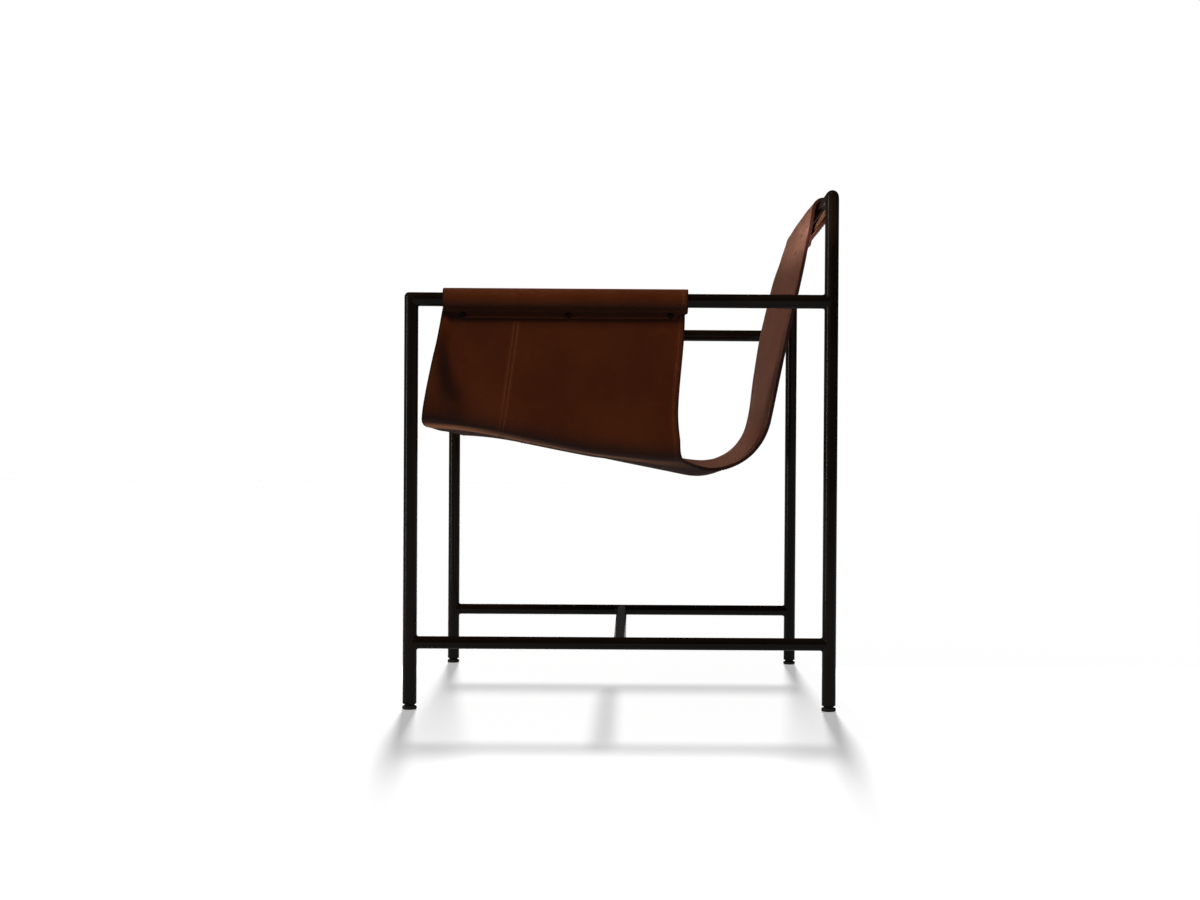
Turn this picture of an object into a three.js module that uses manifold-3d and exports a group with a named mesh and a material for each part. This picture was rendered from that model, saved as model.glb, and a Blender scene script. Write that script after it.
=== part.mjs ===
// Lounge chair: a welded tube frame on four levelling glides, and a leather sling hung from
// its two arm rails and its top rail. Millimetres, +Z up. The chair faces -Y.
import * as THREE from 'three'
import { mergeVertices } from 'three/addons/utils/BufferGeometryUtils.js'
import Module from 'manifold-3d'

const wasm = await Module()
wasm.setup()

// Frame sizes
const legSpacingAcross = 604
const legSpacingDeep = 604
const armHeight = 590
const topRailHeight = 740
const stretcherHeight = 96.4
const tubeDiameter = 20
const tubeWall = 2
const stretcherDiameter = 18
const stretcherWall = 1.5
const cornerRounding = 6

// Glide sizes
const padDiameter = 21
const padHeight = 5.4
const padRounding = 1.6
const padSocketDepth = 2.6
const flangeAcrossCorners = 15
const flangeHeight = 2.1
const studDiameter = 8
const studLength = 22
const spigotDiameter = 9
const insertLength = 18

// Sling sizes
const hideThickness = 4.8
const armSleeveFront = -256
const armSleeveBack = 95.5
const backSleeveWidth = 400
const seatLowHeight = 338
const seatSlope = THREE.MathUtils.degToRad(10.9)
const backLean = THREE.MathUtils.degToRad(12)
const bendRadius = 105
const seatFrontReach = 291
const seatFrontSetback = 8
const seatFrontDroop = 7
const droopLength = 110
const cornerStart = 262
const wingCutSetback = 7
const wingCutHeight = 46
const windowCornerLength = 88
const hideSet = 24
const wingRunShare = 0.955
const seamFromFront = 112

// Sleeve and fastener sizes
const armFlapTurn = THREE.MathUtils.degToRad(75)
const armFlapBend = 3
const armTailLength = 8.5
const armTailFrontCut = 32
const armTailBackCut = 18
const backFlapTurn = THREE.MathUtils.degToRad(25)
const backFlapBend = 10
const backTailLength = 9.5
const backTailSkive = 2.2
const screwShankDiameter = 4.4
const screwHeadDiameter = 8
const screwHeadHeight = 1.6
const armScrewPlaces = [-228, -76.5, 71]
const backScrewInset = 22
const backScrewCount = 4

// Gap between pieces that touch, overrun of cutters, and how finely round pieces are made
const gap = 0.3
const overrun = 5
const tubeSides = 32
const smallSides = 20
const headSides = 10
const shankSides = 6

// Places worked out from the sizes above
const tubeRadius = tubeDiameter / 2
const stretcherRadius = stretcherDiameter / 2
const legX = legSpacingAcross / 2
const legY = legSpacingDeep / 2
const legFoot = padHeight + gap + flangeHeight + gap
const hideHalf = hideThickness / 2
const loopRadius = tubeRadius + gap + hideHalf
const wingX = legX - loopRadius

const frameColour = 0x14110f
const hideColour = 0x4a2012
const plasticColour = 0x121110
const steelColour = 0x8b8a88
const screwColour = 0x2a211b

const finishes = {
  frame: { color: frameColour, roughness: 0.42, metalness: 0.35 },
  hide: { color: hideColour, roughness: 0.48, metalness: 0 },
  plastic: { color: plasticColour, roughness: 0.6, metalness: 0 },
  steel: { color: steelColour, roughness: 0.4, metalness: 1 },
  screw: { color: screwColour, roughness: 0.35, metalness: 0.9 },
}

const chair = new THREE.Group()

function addPiece(name, geometry, finish) {
  const mesh = new THREE.Mesh(geometry, new THREE.MeshStandardMaterial(finishes[finish]))
  mesh.name = name
  chair.add(mesh)
}

// Closed meshes to solids and back
function toSolid(geometry) {
  const bare = geometry.clone()
  for (const name of Object.keys(bare.attributes)) {
    if (name !== 'position') bare.deleteAttribute(name)
  }
  const merged = mergeVertices(bare, gap / 1000)
  const vertProperties = new Float32Array(merged.attributes.position.array)
  const triVerts = new Uint32Array(merged.index.array)
  return new wasm.Manifold(new wasm.Mesh({ numProp: 3, vertProperties, triVerts }))
}

function toGeometry(solid) {
  const mesh = solid.getMesh()
  const geometry = new THREE.BufferGeometry()
  geometry.setAttribute('position', new THREE.BufferAttribute(mesh.vertProperties.slice(), 3))
  geometry.setIndex(new THREE.BufferAttribute(mesh.triVerts.slice(), 1))
  geometry.computeVertexNormals()
  return geometry
}

function joinSolids(solids) {
  return solids.reduce((all, one) => all.add(one))
}

// A round bar or pipe along +Z that starts at the origin
function roundBar(radius, length, sides = tubeSides, bore = 0) {
  const inner = bore > 0 ? bore : 0
  const profile = [
    new THREE.Vector2(inner, 0),
    new THREE.Vector2(radius, 0),
    new THREE.Vector2(radius, length),
    new THREE.Vector2(inner, length),
  ]
  if (inner > 0) profile.push(new THREE.Vector2(inner, 0))
  return new THREE.LatheGeometry(profile, sides)
}

// Lathe geometry spins round Y, so each bar is stood up first and then laid along its own axis
function layAlong(geometry, start, direction) {
  const stand = new THREE.Matrix4().makeRotationX(Math.PI / 2)
  const turn = new THREE.Quaternion().setFromUnitVectors(new THREE.Vector3(0, 0, 1), direction.clone().normalize())
  geometry.applyMatrix4(stand)
  geometry.applyQuaternion(turn)
  geometry.translate(start.x, start.y, start.z)
  return geometry
}

function bar(radius, start, end, sides = tubeSides, bore = 0) {
  const along = end.clone().sub(start)
  return toSolid(layAlong(roundBar(radius, along.length(), sides, bore), start, along))
}

function pipe(radius, wall, start, end) {
  return bar(radius, start, end, tubeSides, radius - wall)
}

// Cuts away everything past a plane, which faces along the given direction
function cutPast(solid, point, facing) {
  const size = legSpacingAcross
  const block = new THREE.BoxGeometry(size, size, size)
  const turn = new THREE.Quaternion().setFromUnitVectors(new THREE.Vector3(0, 0, 1), facing.clone().normalize())
  block.translate(0, 0, size / 2)
  block.applyQuaternion(turn)
  block.translate(point.x, point.y, point.z)
  return solid.subtract(toSolid(block))
}

function point(x, y, z) {
  return new THREE.Vector3(x, y, z)
}

// Cuts one tube of a mitred corner: towards is where the other tube runs from the corner
function mitre(solid, corner, own, towards) {
  const facing = towards.clone().sub(own)
  const plane = corner.clone().addScaledVector(facing.clone().normalize(), -gap / 2)
  return cutPast(solid, plane, facing)
}

// Takes the sharp outer edge off a mitred corner; side is across both tubes
function roundCorner(solid, corner, own, towards, side) {
  const r = cornerRounding
  const shape = new THREE.Shape()
  shape.moveTo(-overrun, overrun)
  shape.lineTo(-overrun, -r)
  shape.lineTo(0, -r)
  shape.absarc(r, -r, r, Math.PI, Math.PI / 2, true)
  shape.lineTo(r, overrun)
  shape.closePath()
  const width = tubeDiameter + overrun
  const cutter = new THREE.ExtrudeGeometry(shape, { depth: width, bevelEnabled: false, curveSegments: 6 })
  cutter.translate(-tubeRadius, tubeRadius, -width / 2)
  const basis = new THREE.Matrix4().makeBasis(towards, own.clone().negate(), side)
  if (basis.determinant() < 0) {
    basis.makeBasis(towards, own.clone().negate(), side.clone().negate())
  }
  cutter.applyMatrix4(basis)
  cutter.translate(corner.x, corner.y, corner.z)
  return solid.subtract(toSolid(cutter))
}

const up = point(0, 0, 1)
const down = point(0, 0, -1)
const back = point(0, 1, 0)
const front = point(0, -1, 0)
const right = point(1, 0, 0)

// A solid bar that stands for a neighbour's outside, larger by the gap, to cope a tube's end on
function cope(solid, radius, start, end) {
  return solid.subtract(bar(radius + gap, start, end))
}

function frontLeg(side) {
  const corner = point(side * legX, -legY, armHeight)
  let leg = pipe(tubeRadius, tubeWall, point(corner.x, corner.y, legFoot), corner.clone().addScaledVector(up, tubeDiameter))
  leg = mitre(leg, corner, down, back)
  return roundCorner(leg, corner, down, back, right)
}

function rearLeg(side) {
  const corner = point(side * legX, legY, topRailHeight)
  const inward = point(-side, 0, 0)
  let leg = pipe(tubeRadius, tubeWall, point(corner.x, corner.y, legFoot), corner.clone().addScaledVector(up, tubeDiameter))
  leg = mitre(leg, corner, down, inward)
  return roundCorner(leg, corner, down, inward, back)
}

function armRail(side) {
  const corner = point(side * legX, -legY, armHeight)
  const end = point(side * legX, legY, armHeight)
  let rail = pipe(tubeRadius, tubeWall, corner.clone().addScaledVector(front, tubeDiameter), end)
  rail = mitre(rail, corner, back, down)
  rail = roundCorner(rail, corner, back, down, right)
  return cope(rail, tubeRadius, point(end.x, end.y, 0), point(end.x, end.y, topRailHeight))
}

function topRail() {
  let rail = pipe(
    tubeRadius,
    tubeWall,
    point(-legX - tubeDiameter, legY, topRailHeight),
    point(legX + tubeDiameter, legY, topRailHeight),
  )
  for (const side of [-1, 1]) {
    const corner = point(side * legX, legY, topRailHeight)
    const inward = point(-side, 0, 0)
    rail = mitre(rail, corner, inward, down)
    rail = roundCorner(rail, corner, inward, down, back)
  }
  return rail
}

function sideStretcher(side) {
  const x = side * legX
  let stretcher = pipe(
    stretcherRadius,
    stretcherWall,
    point(x, -legY, stretcherHeight),
    point(x, legY, stretcherHeight),
  )
  for (const end of [-1, 1]) {
    stretcher = cope(stretcher, tubeRadius, point(x, end * legY, 0), point(x, end * legY, armHeight))
  }
  return stretcher
}

function crossStretcher() {
  let stretcher = pipe(
    stretcherRadius,
    stretcherWall,
    point(-legX, 0, stretcherHeight),
    point(legX, 0, stretcherHeight),
  )
  for (const side of [-1, 1]) {
    const x = side * legX
    stretcher = cope(stretcher, stretcherRadius, point(x, -legY, stretcherHeight), point(x, legY, stretcherHeight))
  }
  return stretcher
}

// Levelling glide: an insert fixed in the leg, a stud with a flange that screws into it, and a
// pad that the foot of the stud turns in
const socketRadius = spigotDiameter / 2 + gap
const studRadius = studDiameter / 2
const flangeRadius = flangeAcrossCorners / 2
const studBase = padHeight - padSocketDepth + gap
const flangeBase = padHeight + gap

function lathed(profile, x, y, sides = smallSides) {
  const points = profile.map(([radius, height]) => new THREE.Vector2(radius, height))
  return layAlong(new THREE.LatheGeometry(points, sides), point(x, y, 0), up)
}

function glideInsert(x, y) {
  const outer = tubeRadius - tubeWall - gap
  const bore = studRadius + gap
  const top = legFoot + insertLength
  return lathed([[bore, legFoot], [outer, legFoot], [outer, top], [bore, top], [bore, legFoot]], x, y)
}

function glideStud(x, y) {
  const flangeTop = flangeBase + flangeHeight
  const top = flangeTop + studLength
  const spigot = toSolid(lathed([
    [0, studBase], [spigotDiameter / 2, studBase], [spigotDiameter / 2, flangeTop - flangeHeight / 2],
    [studRadius, flangeTop - flangeHeight / 2], [studRadius, top - gap], [studRadius - gap, top], [0, top],
  ], x, y))
  const flange = toSolid(lathed([
    [0, flangeBase], [flangeRadius, flangeBase], [flangeRadius, flangeTop], [0, flangeTop],
  ], x, y, 6))
  return toGeometry(spigot.add(flange))
}

function glidePad(x, y) {
  const r = padDiameter / 2
  const edge = padRounding
  const floor = padHeight - padSocketDepth
  const rounding = [0, 0.5, 1].map((share) => {
    const angle = share * Math.PI / 2
    return [r - edge + edge * Math.sin(angle), edge - edge * Math.cos(angle)]
  })
  const shoulder = [0, 0.5, 1].map((share) => {
    const angle = share * Math.PI / 2
    return [r - edge + edge * Math.cos(angle), padHeight - edge + edge * Math.sin(angle)]
  })
  return lathed([
    [0, 0], ...rounding, ...shoulder, [socketRadius, padHeight], [socketRadius, floor], [0, floor],
  ], x, y)
}

// Sling: one surface, laid out by how far a point is round the hide from its middle line
// (girth, + on the chair's left) and how far along it from the front edge (run).

// A route in a plane made of straight and curved stretches. Each stretch has a length and a turn.
function makeRoute(start, heading, stretches) {
  const parts = []
  let place = { a: start[0], b: start[1], heading }
  let from = 0
  for (const { length, turn = 0 } of stretches) {
    parts.push({ from, length, turn, ...place })
    place = walk({ length, turn, ...place }, length)
    from += length
  }
  return { parts, length: from }
}

function walk(part, distance) {
  const turned = part.turn * distance / part.length
  const heading = part.heading + turned
  if (part.turn === 0) {
    return {
      a: part.a + distance * Math.cos(part.heading),
      b: part.b + distance * Math.sin(part.heading),
      heading,
    }
  }
  const radius = part.length / part.turn
  return {
    a: part.a + radius * (Math.sin(heading) - Math.sin(part.heading)),
    b: part.b - radius * (Math.cos(heading) - Math.cos(part.heading)),
    heading,
  }
}

function along(route, distance) {
  const part = route.parts.findLast((one) => distance >= one.from) ?? route.parts[0]
  return walk(part, distance - part.from)
}

// The middle line of the sling, seen from the side: seat, bend, back, top loop, flap and tail
const halfTurn = Math.PI
const quarterTurn = Math.PI / 2
const backSleeveHalf = backSleeveWidth / 2
const midBend = bendRadius - hideHalf
const bendTurn = seatSlope + quarterTurn - backLean
const backTop = {
  y: legY - loopRadius * Math.cos(backLean),
  z: topRailHeight + loopRadius * Math.sin(backLean),
}
const bendCentreZ = seatLowHeight + bendRadius
const backLength = (backTop.z + midBend * Math.sin(backLean) - bendCentreZ) / Math.cos(backLean)
const bendCentreY = backTop.y - backLength * Math.sin(backLean) - midBend * Math.cos(backLean)
const seatBack = {
  y: bendCentreY - midBend * Math.sin(seatSlope),
  z: bendCentreZ - midBend * Math.cos(seatSlope),
}
const seatLength = (seatBack.y + seatFrontReach) / Math.cos(seatSlope)
const backLoopTurn = halfTurn + backFlapTurn
const backFlapReach = loopRadius * (1 - Math.cos(backLoopTurn)) - hideThickness - gap
const backBendDrop = backFlapBend * (1 - Math.cos(backFlapTurn))
const backFlapLength = (backFlapReach - backBendDrop) / Math.sin(backFlapTurn)
const spine = makeRoute(
  [seatBack.y - seatLength * Math.cos(seatSlope), seatBack.z + seatLength * Math.sin(seatSlope)],
  -seatSlope,
  [
    { length: seatLength },
    { length: midBend * bendTurn, turn: bendTurn },
    { length: backLength },
    { length: loopRadius * backLoopTurn, turn: -backLoopTurn },
    { length: backFlapLength },
    { length: backFlapBend * backFlapTurn, turn: backFlapTurn },
    { length: backTailLength },
  ],
)
const lowRun = seatLength + midBend * seatSlope
const bendEndRun = seatLength + midBend * bendTurn
const topRun = bendEndRun + backLength
const backFlapRun = topRun + loopRadius * backLoopTurn
const backTailRun = spine.length - backTailLength
const wingRun = seatLength * wingRunShare

// The sleeve on an arm, seen along the rail: up inside it, over it, round below and down a tail
const armLoopTurn = halfTurn + armFlapTurn
const armFlapReach = loopRadius * (1 - Math.cos(armLoopTurn)) - hideThickness - gap
const armBendDrop = armFlapBend * (1 - Math.cos(armFlapTurn))
const armFlapLength = (armFlapReach - armBendDrop) / Math.sin(armFlapTurn)
const armRoute = makeRoute([wingX, armHeight], quarterTurn, [
  { length: loopRadius * armLoopTurn, turn: -armLoopTurn },
  { length: armFlapLength },
  { length: armFlapBend * armFlapTurn, turn: armFlapTurn },
  { length: armTailLength },
])
const armTailStart = armRoute.length - armTailLength

// How the hide has set: how far its left edge, right edge and middle stand in from the plain
// surface, as shares of hideSet, at places along the run
const setRuns = [
  0, seatLength * 0.63, seatLength * 0.88, lowRun, lowRun + bendRadius * 0.3, lowRun + bendRadius * 0.75,
  bendEndRun, bendEndRun + backLength * 0.08, bendEndRun + backLength * 0.25, bendEndRun + backLength * 0.47,
  bendEndRun + backLength * 0.78, topRun - tubeRadius, topRun,
]
const leftSetShares = [0.04, 0.04, 0.17, 0.35, 0.2, 0.02, -0.04, -0.04, -0.02, 0, 0.02, 0, 0]
const rightSetShares = [0.04, 0.04, 0.4, 0.98, 0.83, 0.44, 0.14, 0.09, 0.38, 0.56, 0.46, 0.12, 0]
const middleSetShares = [0.04, 0.04, 0.02, 0, 0.08, 0.07, 0.05, 0.03, 0.18, 0.28, 0.24, 0.06, 0]

function smoothStep(low, high, value) {
  return THREE.MathUtils.smoothstep(value, low, high)
}

// Reads a list of shares at a run, easing from each place to the next
function readShares(shares, run) {
  const last = setRuns.length - 1
  if (run >= setRuns[last]) return shares[last]
  const next = Math.max(1, setRuns.findIndex((place) => place > run))
  const ease = smoothStep(setRuns[next - 1], setRuns[next], run)
  return THREE.MathUtils.lerp(shares[next - 1], shares[next], ease)
}

// How far the seat and back stand in from the plain surface, across the hide. The flap behind
// the top rail follows the back that it is fixed to.
function setIn(across, run) {
  if (run <= topRun) return setAt(across, run)
  if (run <= backFlapRun) return 0
  const spot = along(spine, run)
  const drop = (backTop.y - spot.a) * Math.sin(backLean) + (backTop.z - spot.b) * Math.cos(backLean)
  return setAt(across, topRun - drop) * smoothStep(backFlapRun, backTailRun, run)
}

function setAt(across, run) {
  const left = readShares(leftSetShares, run)
  const right = readShares(rightSetShares, run)
  const middle = readShares(middleSetShares, run)
  const place = across / backSleeveHalf
  const leaning = THREE.MathUtils.clamp(place, -1, 1)
  const bowl = (left + right) / 2 - middle
  const droop = Math.max(0, 1 - run / droopLength) ** 2 * seatFrontDroop
  return hideSet * (middle + (left - right) / 2 * leaning + bowl * place ** 2) - droop
}

// The bottom corner between seat and wing is an arc from the seat's slope there to upright
function cornerArc(side, run) {
  const step = overrun
  const rise = setIn(side * cornerStart, run) - setIn(side * (cornerStart - step), run)
  const slope = Math.atan2(rise, step)
  const radius = (wingX - cornerStart) / (1 - Math.sin(slope))
  return { slope, radius, height: setIn(side * cornerStart, run) }
}

const cornerGirth = (wingX - cornerStart) * quarterTurn
const wingStart = cornerStart + cornerGirth
const wingHeight = armHeight - seatLowHeight - bendRadius / 2
const sleeveStart = wingStart + wingHeight
const girthEnd = sleeveStart + armRoute.length

function armPlace(run) {
  return armSleeveFront + (armSleeveBack - armSleeveFront) * run / wingRun
}

// The place in space of the middle of the hide's thickness
function onHide(girth, run) {
  const side = Math.sign(girth) || 1
  const reach = Math.abs(girth)
  const spot = along(spine, run)
  const facing = run > topRun ? quarterTurn - backLean : spot.heading
  const inward = { y: -Math.sin(facing), z: Math.cos(facing) }
  if (reach <= cornerStart) {
    const height = setIn(girth, run)
    return point(girth, spot.a + inward.y * height, spot.b + inward.z * height)
  }
  const { slope, radius, height } = cornerArc(side, run)
  const cornerShare = Math.min(1, (reach - cornerStart) / cornerGirth)
  const angle = THREE.MathUtils.lerp(slope, quarterTurn, cornerShare)
  const lift = height + radius * (Math.cos(slope) - Math.cos(angle))
  const x = cornerStart + radius * (Math.sin(angle) - Math.sin(slope))
  const edge = point(side * x, spot.a + inward.y * lift, spot.b + inward.z * lift)
  if (reach <= wingStart) return edge
  const railPoint = point(side * wingX, armPlace(run), armHeight)
  if (reach <= sleeveStart) return edge.lerp(railPoint, (reach - wingStart) / wingHeight)
  const wrap = along(armRoute, Math.min(reach, girthEnd) - sleeveStart)
  return point(side * wrap.a, armPlace(run), wrap.b)
}

function hideNormal(girth, run) {
  const step = gap
  const across = onHide(girth + step, run).sub(onHide(girth - step, run))
  const lengthwise = onHide(girth, run + step).sub(onHide(girth, run - step))
  return across.cross(lengthwise).normalize()
}

// Where the front edge of the hide is at each girth: set back under the seat and off the tail
function frontRun(girth) {
  const reach = Math.abs(girth)
  const seat = seatFrontSetback * (1 - smoothStep(cornerStart, wingStart + cornerGirth, reach))
  const tail = armTailFrontCut * Math.max(0, (reach - sleeveStart - armTailStart) / armTailLength)
  return seat + tail
}

// Where the window between a wing and the back strip is cut at each girth
const windowGirth = wingStart + wingCutHeight - backSleeveHalf
function backRun(girth) {
  const reach = Math.abs(girth)
  const deepest = wingRun - wingCutSetback
  const edge = backSleeveHalf + windowGirth
  if (reach <= edge) {
    const share = Math.min(1, (edge - reach) / windowGirth)
    return deepest + windowCornerLength * (1 - Math.sqrt(1 - share ** 2))
  }
  const rise = smoothStep(edge - overrun, sleeveStart, reach)
  const tail = armTailBackCut * Math.max(0, (reach - sleeveStart - armTailStart) / armTailLength)
  return deepest + wingCutSetback * rise - tail
}

// Joins two faces of a sheet of points into one closed body. place gives a point's girth and
// run on the hide, or null where the sheet is cut away.
function sheetSolid(rows, columns, place) {
  const positions = []
  const index = []
  const upper = new Map()
  const key = (row, column) => row * columns + column
  const present = (row, column) => row >= 0 && column >= 0 && row < rows && column < columns && place(row, column)
  const vertex = (row, column) => {
    const id = key(row, column)
    if (!upper.has(id)) {
      const { girth, run } = place(row, column)
      const middle = onHide(girth, run)
      const normal = hideNormal(girth, run)
      const skive = backTailSkive * smoothStep(backFlapRun, backTailRun, run)
      upper.set(id, positions.length / 3)
      positions.push(...middle.clone().addScaledVector(normal, hideHalf - skive))
      positions.push(...middle.clone().addScaledVector(normal, -hideHalf))
    }
    return upper.get(id)
  }
  const cell = (row, column) => {
    const corners = [[row, column], [row, column + 1], [row + 1, column + 1], [row + 1, column]]
    return corners.every(([r, c]) => present(r, c)) ? corners : null
  }
  for (let row = 0; row < rows - 1; row += 1) {
    for (let column = 0; column < columns - 1; column += 1) {
      const corners = cell(row, column)
      if (!corners) continue
      const [a, b, c, d] = corners.map(([r, s]) => vertex(r, s))
      index.push(a, b, c, a, c, d)
      index.push(a + 1, c + 1, b + 1, a + 1, d + 1, c + 1)
      const sides = [[a, b, row - 1, column], [b, c, row, column + 1], [c, d, row + 1, column], [d, a, row, column - 1]]
      for (const [from, to, nextRow, nextColumn] of sides) {
        const open = nextRow < 0 || nextColumn < 0 || nextRow >= rows - 1 || nextColumn >= columns - 1
        if (open || !cell(nextRow, nextColumn)) index.push(from, from + 1, to + 1, from, to + 1, to)
      }
    }
  }
  const geometry = new THREE.BufferGeometry()
  geometry.setAttribute('position', new THREE.Float32BufferAttribute(positions, 3))
  geometry.setIndex(index)
  return toSolid(geometry)
}

function spread(from, to, count) {
  return Array.from({ length: count }, (unused, step) => from + (to - from) * (step + 1) / count)
}

// Columns of the sheet: flat seat, window corner, wing, sleeve and tail, on both sides
const windowColumns = 7
const cornerSteps = Array.from({ length: windowColumns }, (unused, step) => {
  const angle = quarterTurn * (step + 1) / windowColumns
  return backSleeveHalf + windowGirth * (1 - Math.cos(angle))
})
const rightHalf = [
  ...spread(0, backSleeveHalf, 3),
  ...cornerSteps,
  sleeveStart,
  ...spread(sleeveStart, sleeveStart + loopRadius * armLoopTurn, 11),
  sleeveStart + loopRadius * armLoopTurn + armFlapLength,
  ...spread(sleeveStart + loopRadius * armLoopTurn + armFlapLength, sleeveStart + armTailStart, 2),
  girthEnd,
]
const girths = [...rightHalf.map((girth) => -girth).reverse(), 0, ...rightHalf]

function seamRun() {
  return seamFromFront
}

function frontHide() {
  const rows = 3
  return sheetSolid(rows, girths.length, (row, column) => {
    const girth = girths[column]
    const from = frontRun(girth)
    const to = seamRun() - gap / 2
    return { girth, run: from + (to - from) * row / (rows - 1) }
  })
}

const seatRowShares = [0, 0.35, 0.62, 0.8, 0.91, 1]
const stripRuns = [
  ...spread(backRun(backSleeveHalf), bendEndRun, 5),
  ...spread(bendEndRun, topRun, 3),
  ...spread(topRun, backFlapRun, 9),
  backFlapRun + backFlapLength,
  ...spread(backFlapRun + backFlapLength, backTailRun, 2),
  spine.length,
]

function mainHide() {
  const seatRows = seatRowShares.length
  const rows = seatRows + stripRuns.length
  return sheetSolid(rows, girths.length, (row, column) => {
    const girth = girths[column]
    if (row < seatRows) {
      const from = seamRun() + gap / 2
      return { girth, run: from + (backRun(girth) - from) * seatRowShares[row] }
    }
    if (Math.abs(girth) > backSleeveHalf + gap) return null
    return { girth, run: stripRuns[row - seatRows] }
  })
}

// Screw posts through both layers of a sleeve: a post with an inner head, and an outer cap
const shankRadius = screwShankDiameter / 2
const headRadius = screwHeadDiameter / 2
const armStack = 2 * hideThickness + gap
const backStack = armStack - backTailSkive

function dome(radius, base, height) {
  return [[radius, base], [radius * 0.8, base + height * 0.75], [0, base + height]]
}

function screwShank(spot, radius, from, to) {
  const start = spot.seat.clone().addScaledVector(spot.facing, from)
  const end = spot.seat.clone().addScaledVector(spot.facing, to)
  return bar(radius, start, end, shankSides)
}

function screwHead(spot, base, height) {
  const points = [[0, base], ...dome(headRadius, base, height)]
  const profile = height > 0 ? points : points.reverse()
  const lathe = new THREE.LatheGeometry(profile.map(([x, y]) => new THREE.Vector2(x, y)), headSides)
  return toSolid(layAlong(lathe, spot.seat, spot.facing))
}

function screwPost(spot) {
  const head = screwHead(spot, -gap, -screwHeadHeight)
  return head.add(screwShank(spot, shankRadius, -gap * 2, spot.stack + screwHeadHeight / 2))
}

function screwCap(spot) {
  const bore = screwShank(spot, shankRadius + gap / 2, 0, spot.stack + screwHeadHeight / 2 + gap / 2)
  return screwHead(spot, spot.stack + gap, screwHeadHeight).subtract(bore)
}

function screwHole(spot) {
  return screwShank(spot, shankRadius + gap / 2, -overrun, armStack + overrun)
}

function armScrewSpots(side) {
  const height = along(armRoute, armTailStart).b - headRadius
  const seat = wingX - hideHalf
  return armScrewPlaces.map((place) => ({
    seat: point(side * seat, place, height),
    facing: point(side, 0, 0),
    stack: armStack,
  }))
}

function backScrewSpots() {
  const tail = along(spine, backTailRun + headRadius)
  const drop = (backTop.y - tail.a) * Math.sin(backLean) + (backTop.z - tail.b) * Math.cos(backLean)
  const run = topRun - drop
  const reach = backSleeveHalf - backScrewInset
  const places = Array.from({ length: backScrewCount }, (unused, step) => -reach + 2 * reach * step / (backScrewCount - 1))
  return places.map((place) => {
    const facing = hideNormal(place, run).negate()
    return { seat: onHide(place, run).addScaledVector(facing, -hideHalf), facing, stack: backStack }
  })
}

const screwSets = {
  arm_left: armScrewSpots(1),
  arm_right: armScrewSpots(-1),
  back: backScrewSpots(),
}
const screwHoles = joinSolids(Object.values(screwSets).flat().map(screwHole))

// The pieces
const sideNames = { left: 1, right: -1 }
for (const [name, side] of Object.entries(sideNames)) {
  addPiece(`front_leg_${name}`, toGeometry(frontLeg(side)), 'frame')
  addPiece(`rear_leg_${name}`, toGeometry(rearLeg(side)), 'frame')
  addPiece(`arm_rail_${name}`, toGeometry(armRail(side)), 'frame')
  addPiece(`side_stretcher_${name}`, toGeometry(sideStretcher(side)), 'frame')
  for (const [end, direction] of Object.entries({ front: -1, rear: 1 })) {
    const x = side * legX
    const y = direction * legY
    addPiece(`glide_insert_${end}_${name}`, glideInsert(x, y), 'steel')
    addPiece(`glide_stud_${end}_${name}`, glideStud(x, y), 'steel')
    addPiece(`glide_pad_${end}_${name}`, glidePad(x, y), 'plastic')
  }
}
addPiece('top_rail', toGeometry(topRail()), 'frame')
addPiece('cross_stretcher', toGeometry(crossStretcher()), 'frame')
addPiece('front_hide', toGeometry(frontHide().subtract(screwHoles)), 'hide')
addPiece('main_hide', toGeometry(mainHide().subtract(screwHoles)), 'hide')
for (const [name, spots] of Object.entries(screwSets)) {
  spots.forEach((spot, place) => {
    addPiece(`screw_post_${name}_${place + 1}`, toGeometry(screwPost(spot)), 'screw')
    addPiece(`screw_cap_${name}_${place + 1}`, toGeometry(screwCap(spot)), 'screw')
  })
}

export default chair
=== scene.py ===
# Lounge chair: a leather sling hung in a black tube frame. Metres, +Z up, the chair faces -Y.
import math

import bpy
import numpy as np
from mathutils import Matrix, Vector


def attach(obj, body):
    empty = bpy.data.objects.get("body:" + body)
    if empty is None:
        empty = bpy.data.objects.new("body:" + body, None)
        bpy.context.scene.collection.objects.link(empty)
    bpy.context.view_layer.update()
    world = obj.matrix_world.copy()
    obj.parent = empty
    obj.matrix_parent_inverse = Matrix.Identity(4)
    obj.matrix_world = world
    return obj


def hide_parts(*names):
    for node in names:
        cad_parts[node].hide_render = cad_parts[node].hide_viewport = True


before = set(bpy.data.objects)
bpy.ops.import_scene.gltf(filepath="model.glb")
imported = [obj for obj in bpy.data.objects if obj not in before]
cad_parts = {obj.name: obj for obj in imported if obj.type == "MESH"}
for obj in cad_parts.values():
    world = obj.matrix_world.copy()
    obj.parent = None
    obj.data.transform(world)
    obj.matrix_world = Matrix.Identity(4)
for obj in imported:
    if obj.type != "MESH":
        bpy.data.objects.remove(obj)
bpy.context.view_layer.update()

# Sizes in millimetres, as the frame and the sling are made
MM = 0.001
LEG_X = 302.0
LEG_Y = 302.0
ARM_HEIGHT = 590.0
TOP_RAIL_HEIGHT = 740.0
STRETCHER_HEIGHT = 96.4
TUBE_RADIUS = 10.0
TUBE_BORE = 8.0
STRETCHER_RADIUS = 9.0
CORNER_ROUNDING = 6.5
INNER_CORNER_ROUNDING = 1.2
WELD_FILLET = 3.2
LEG_FOOT = 8.1

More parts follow.
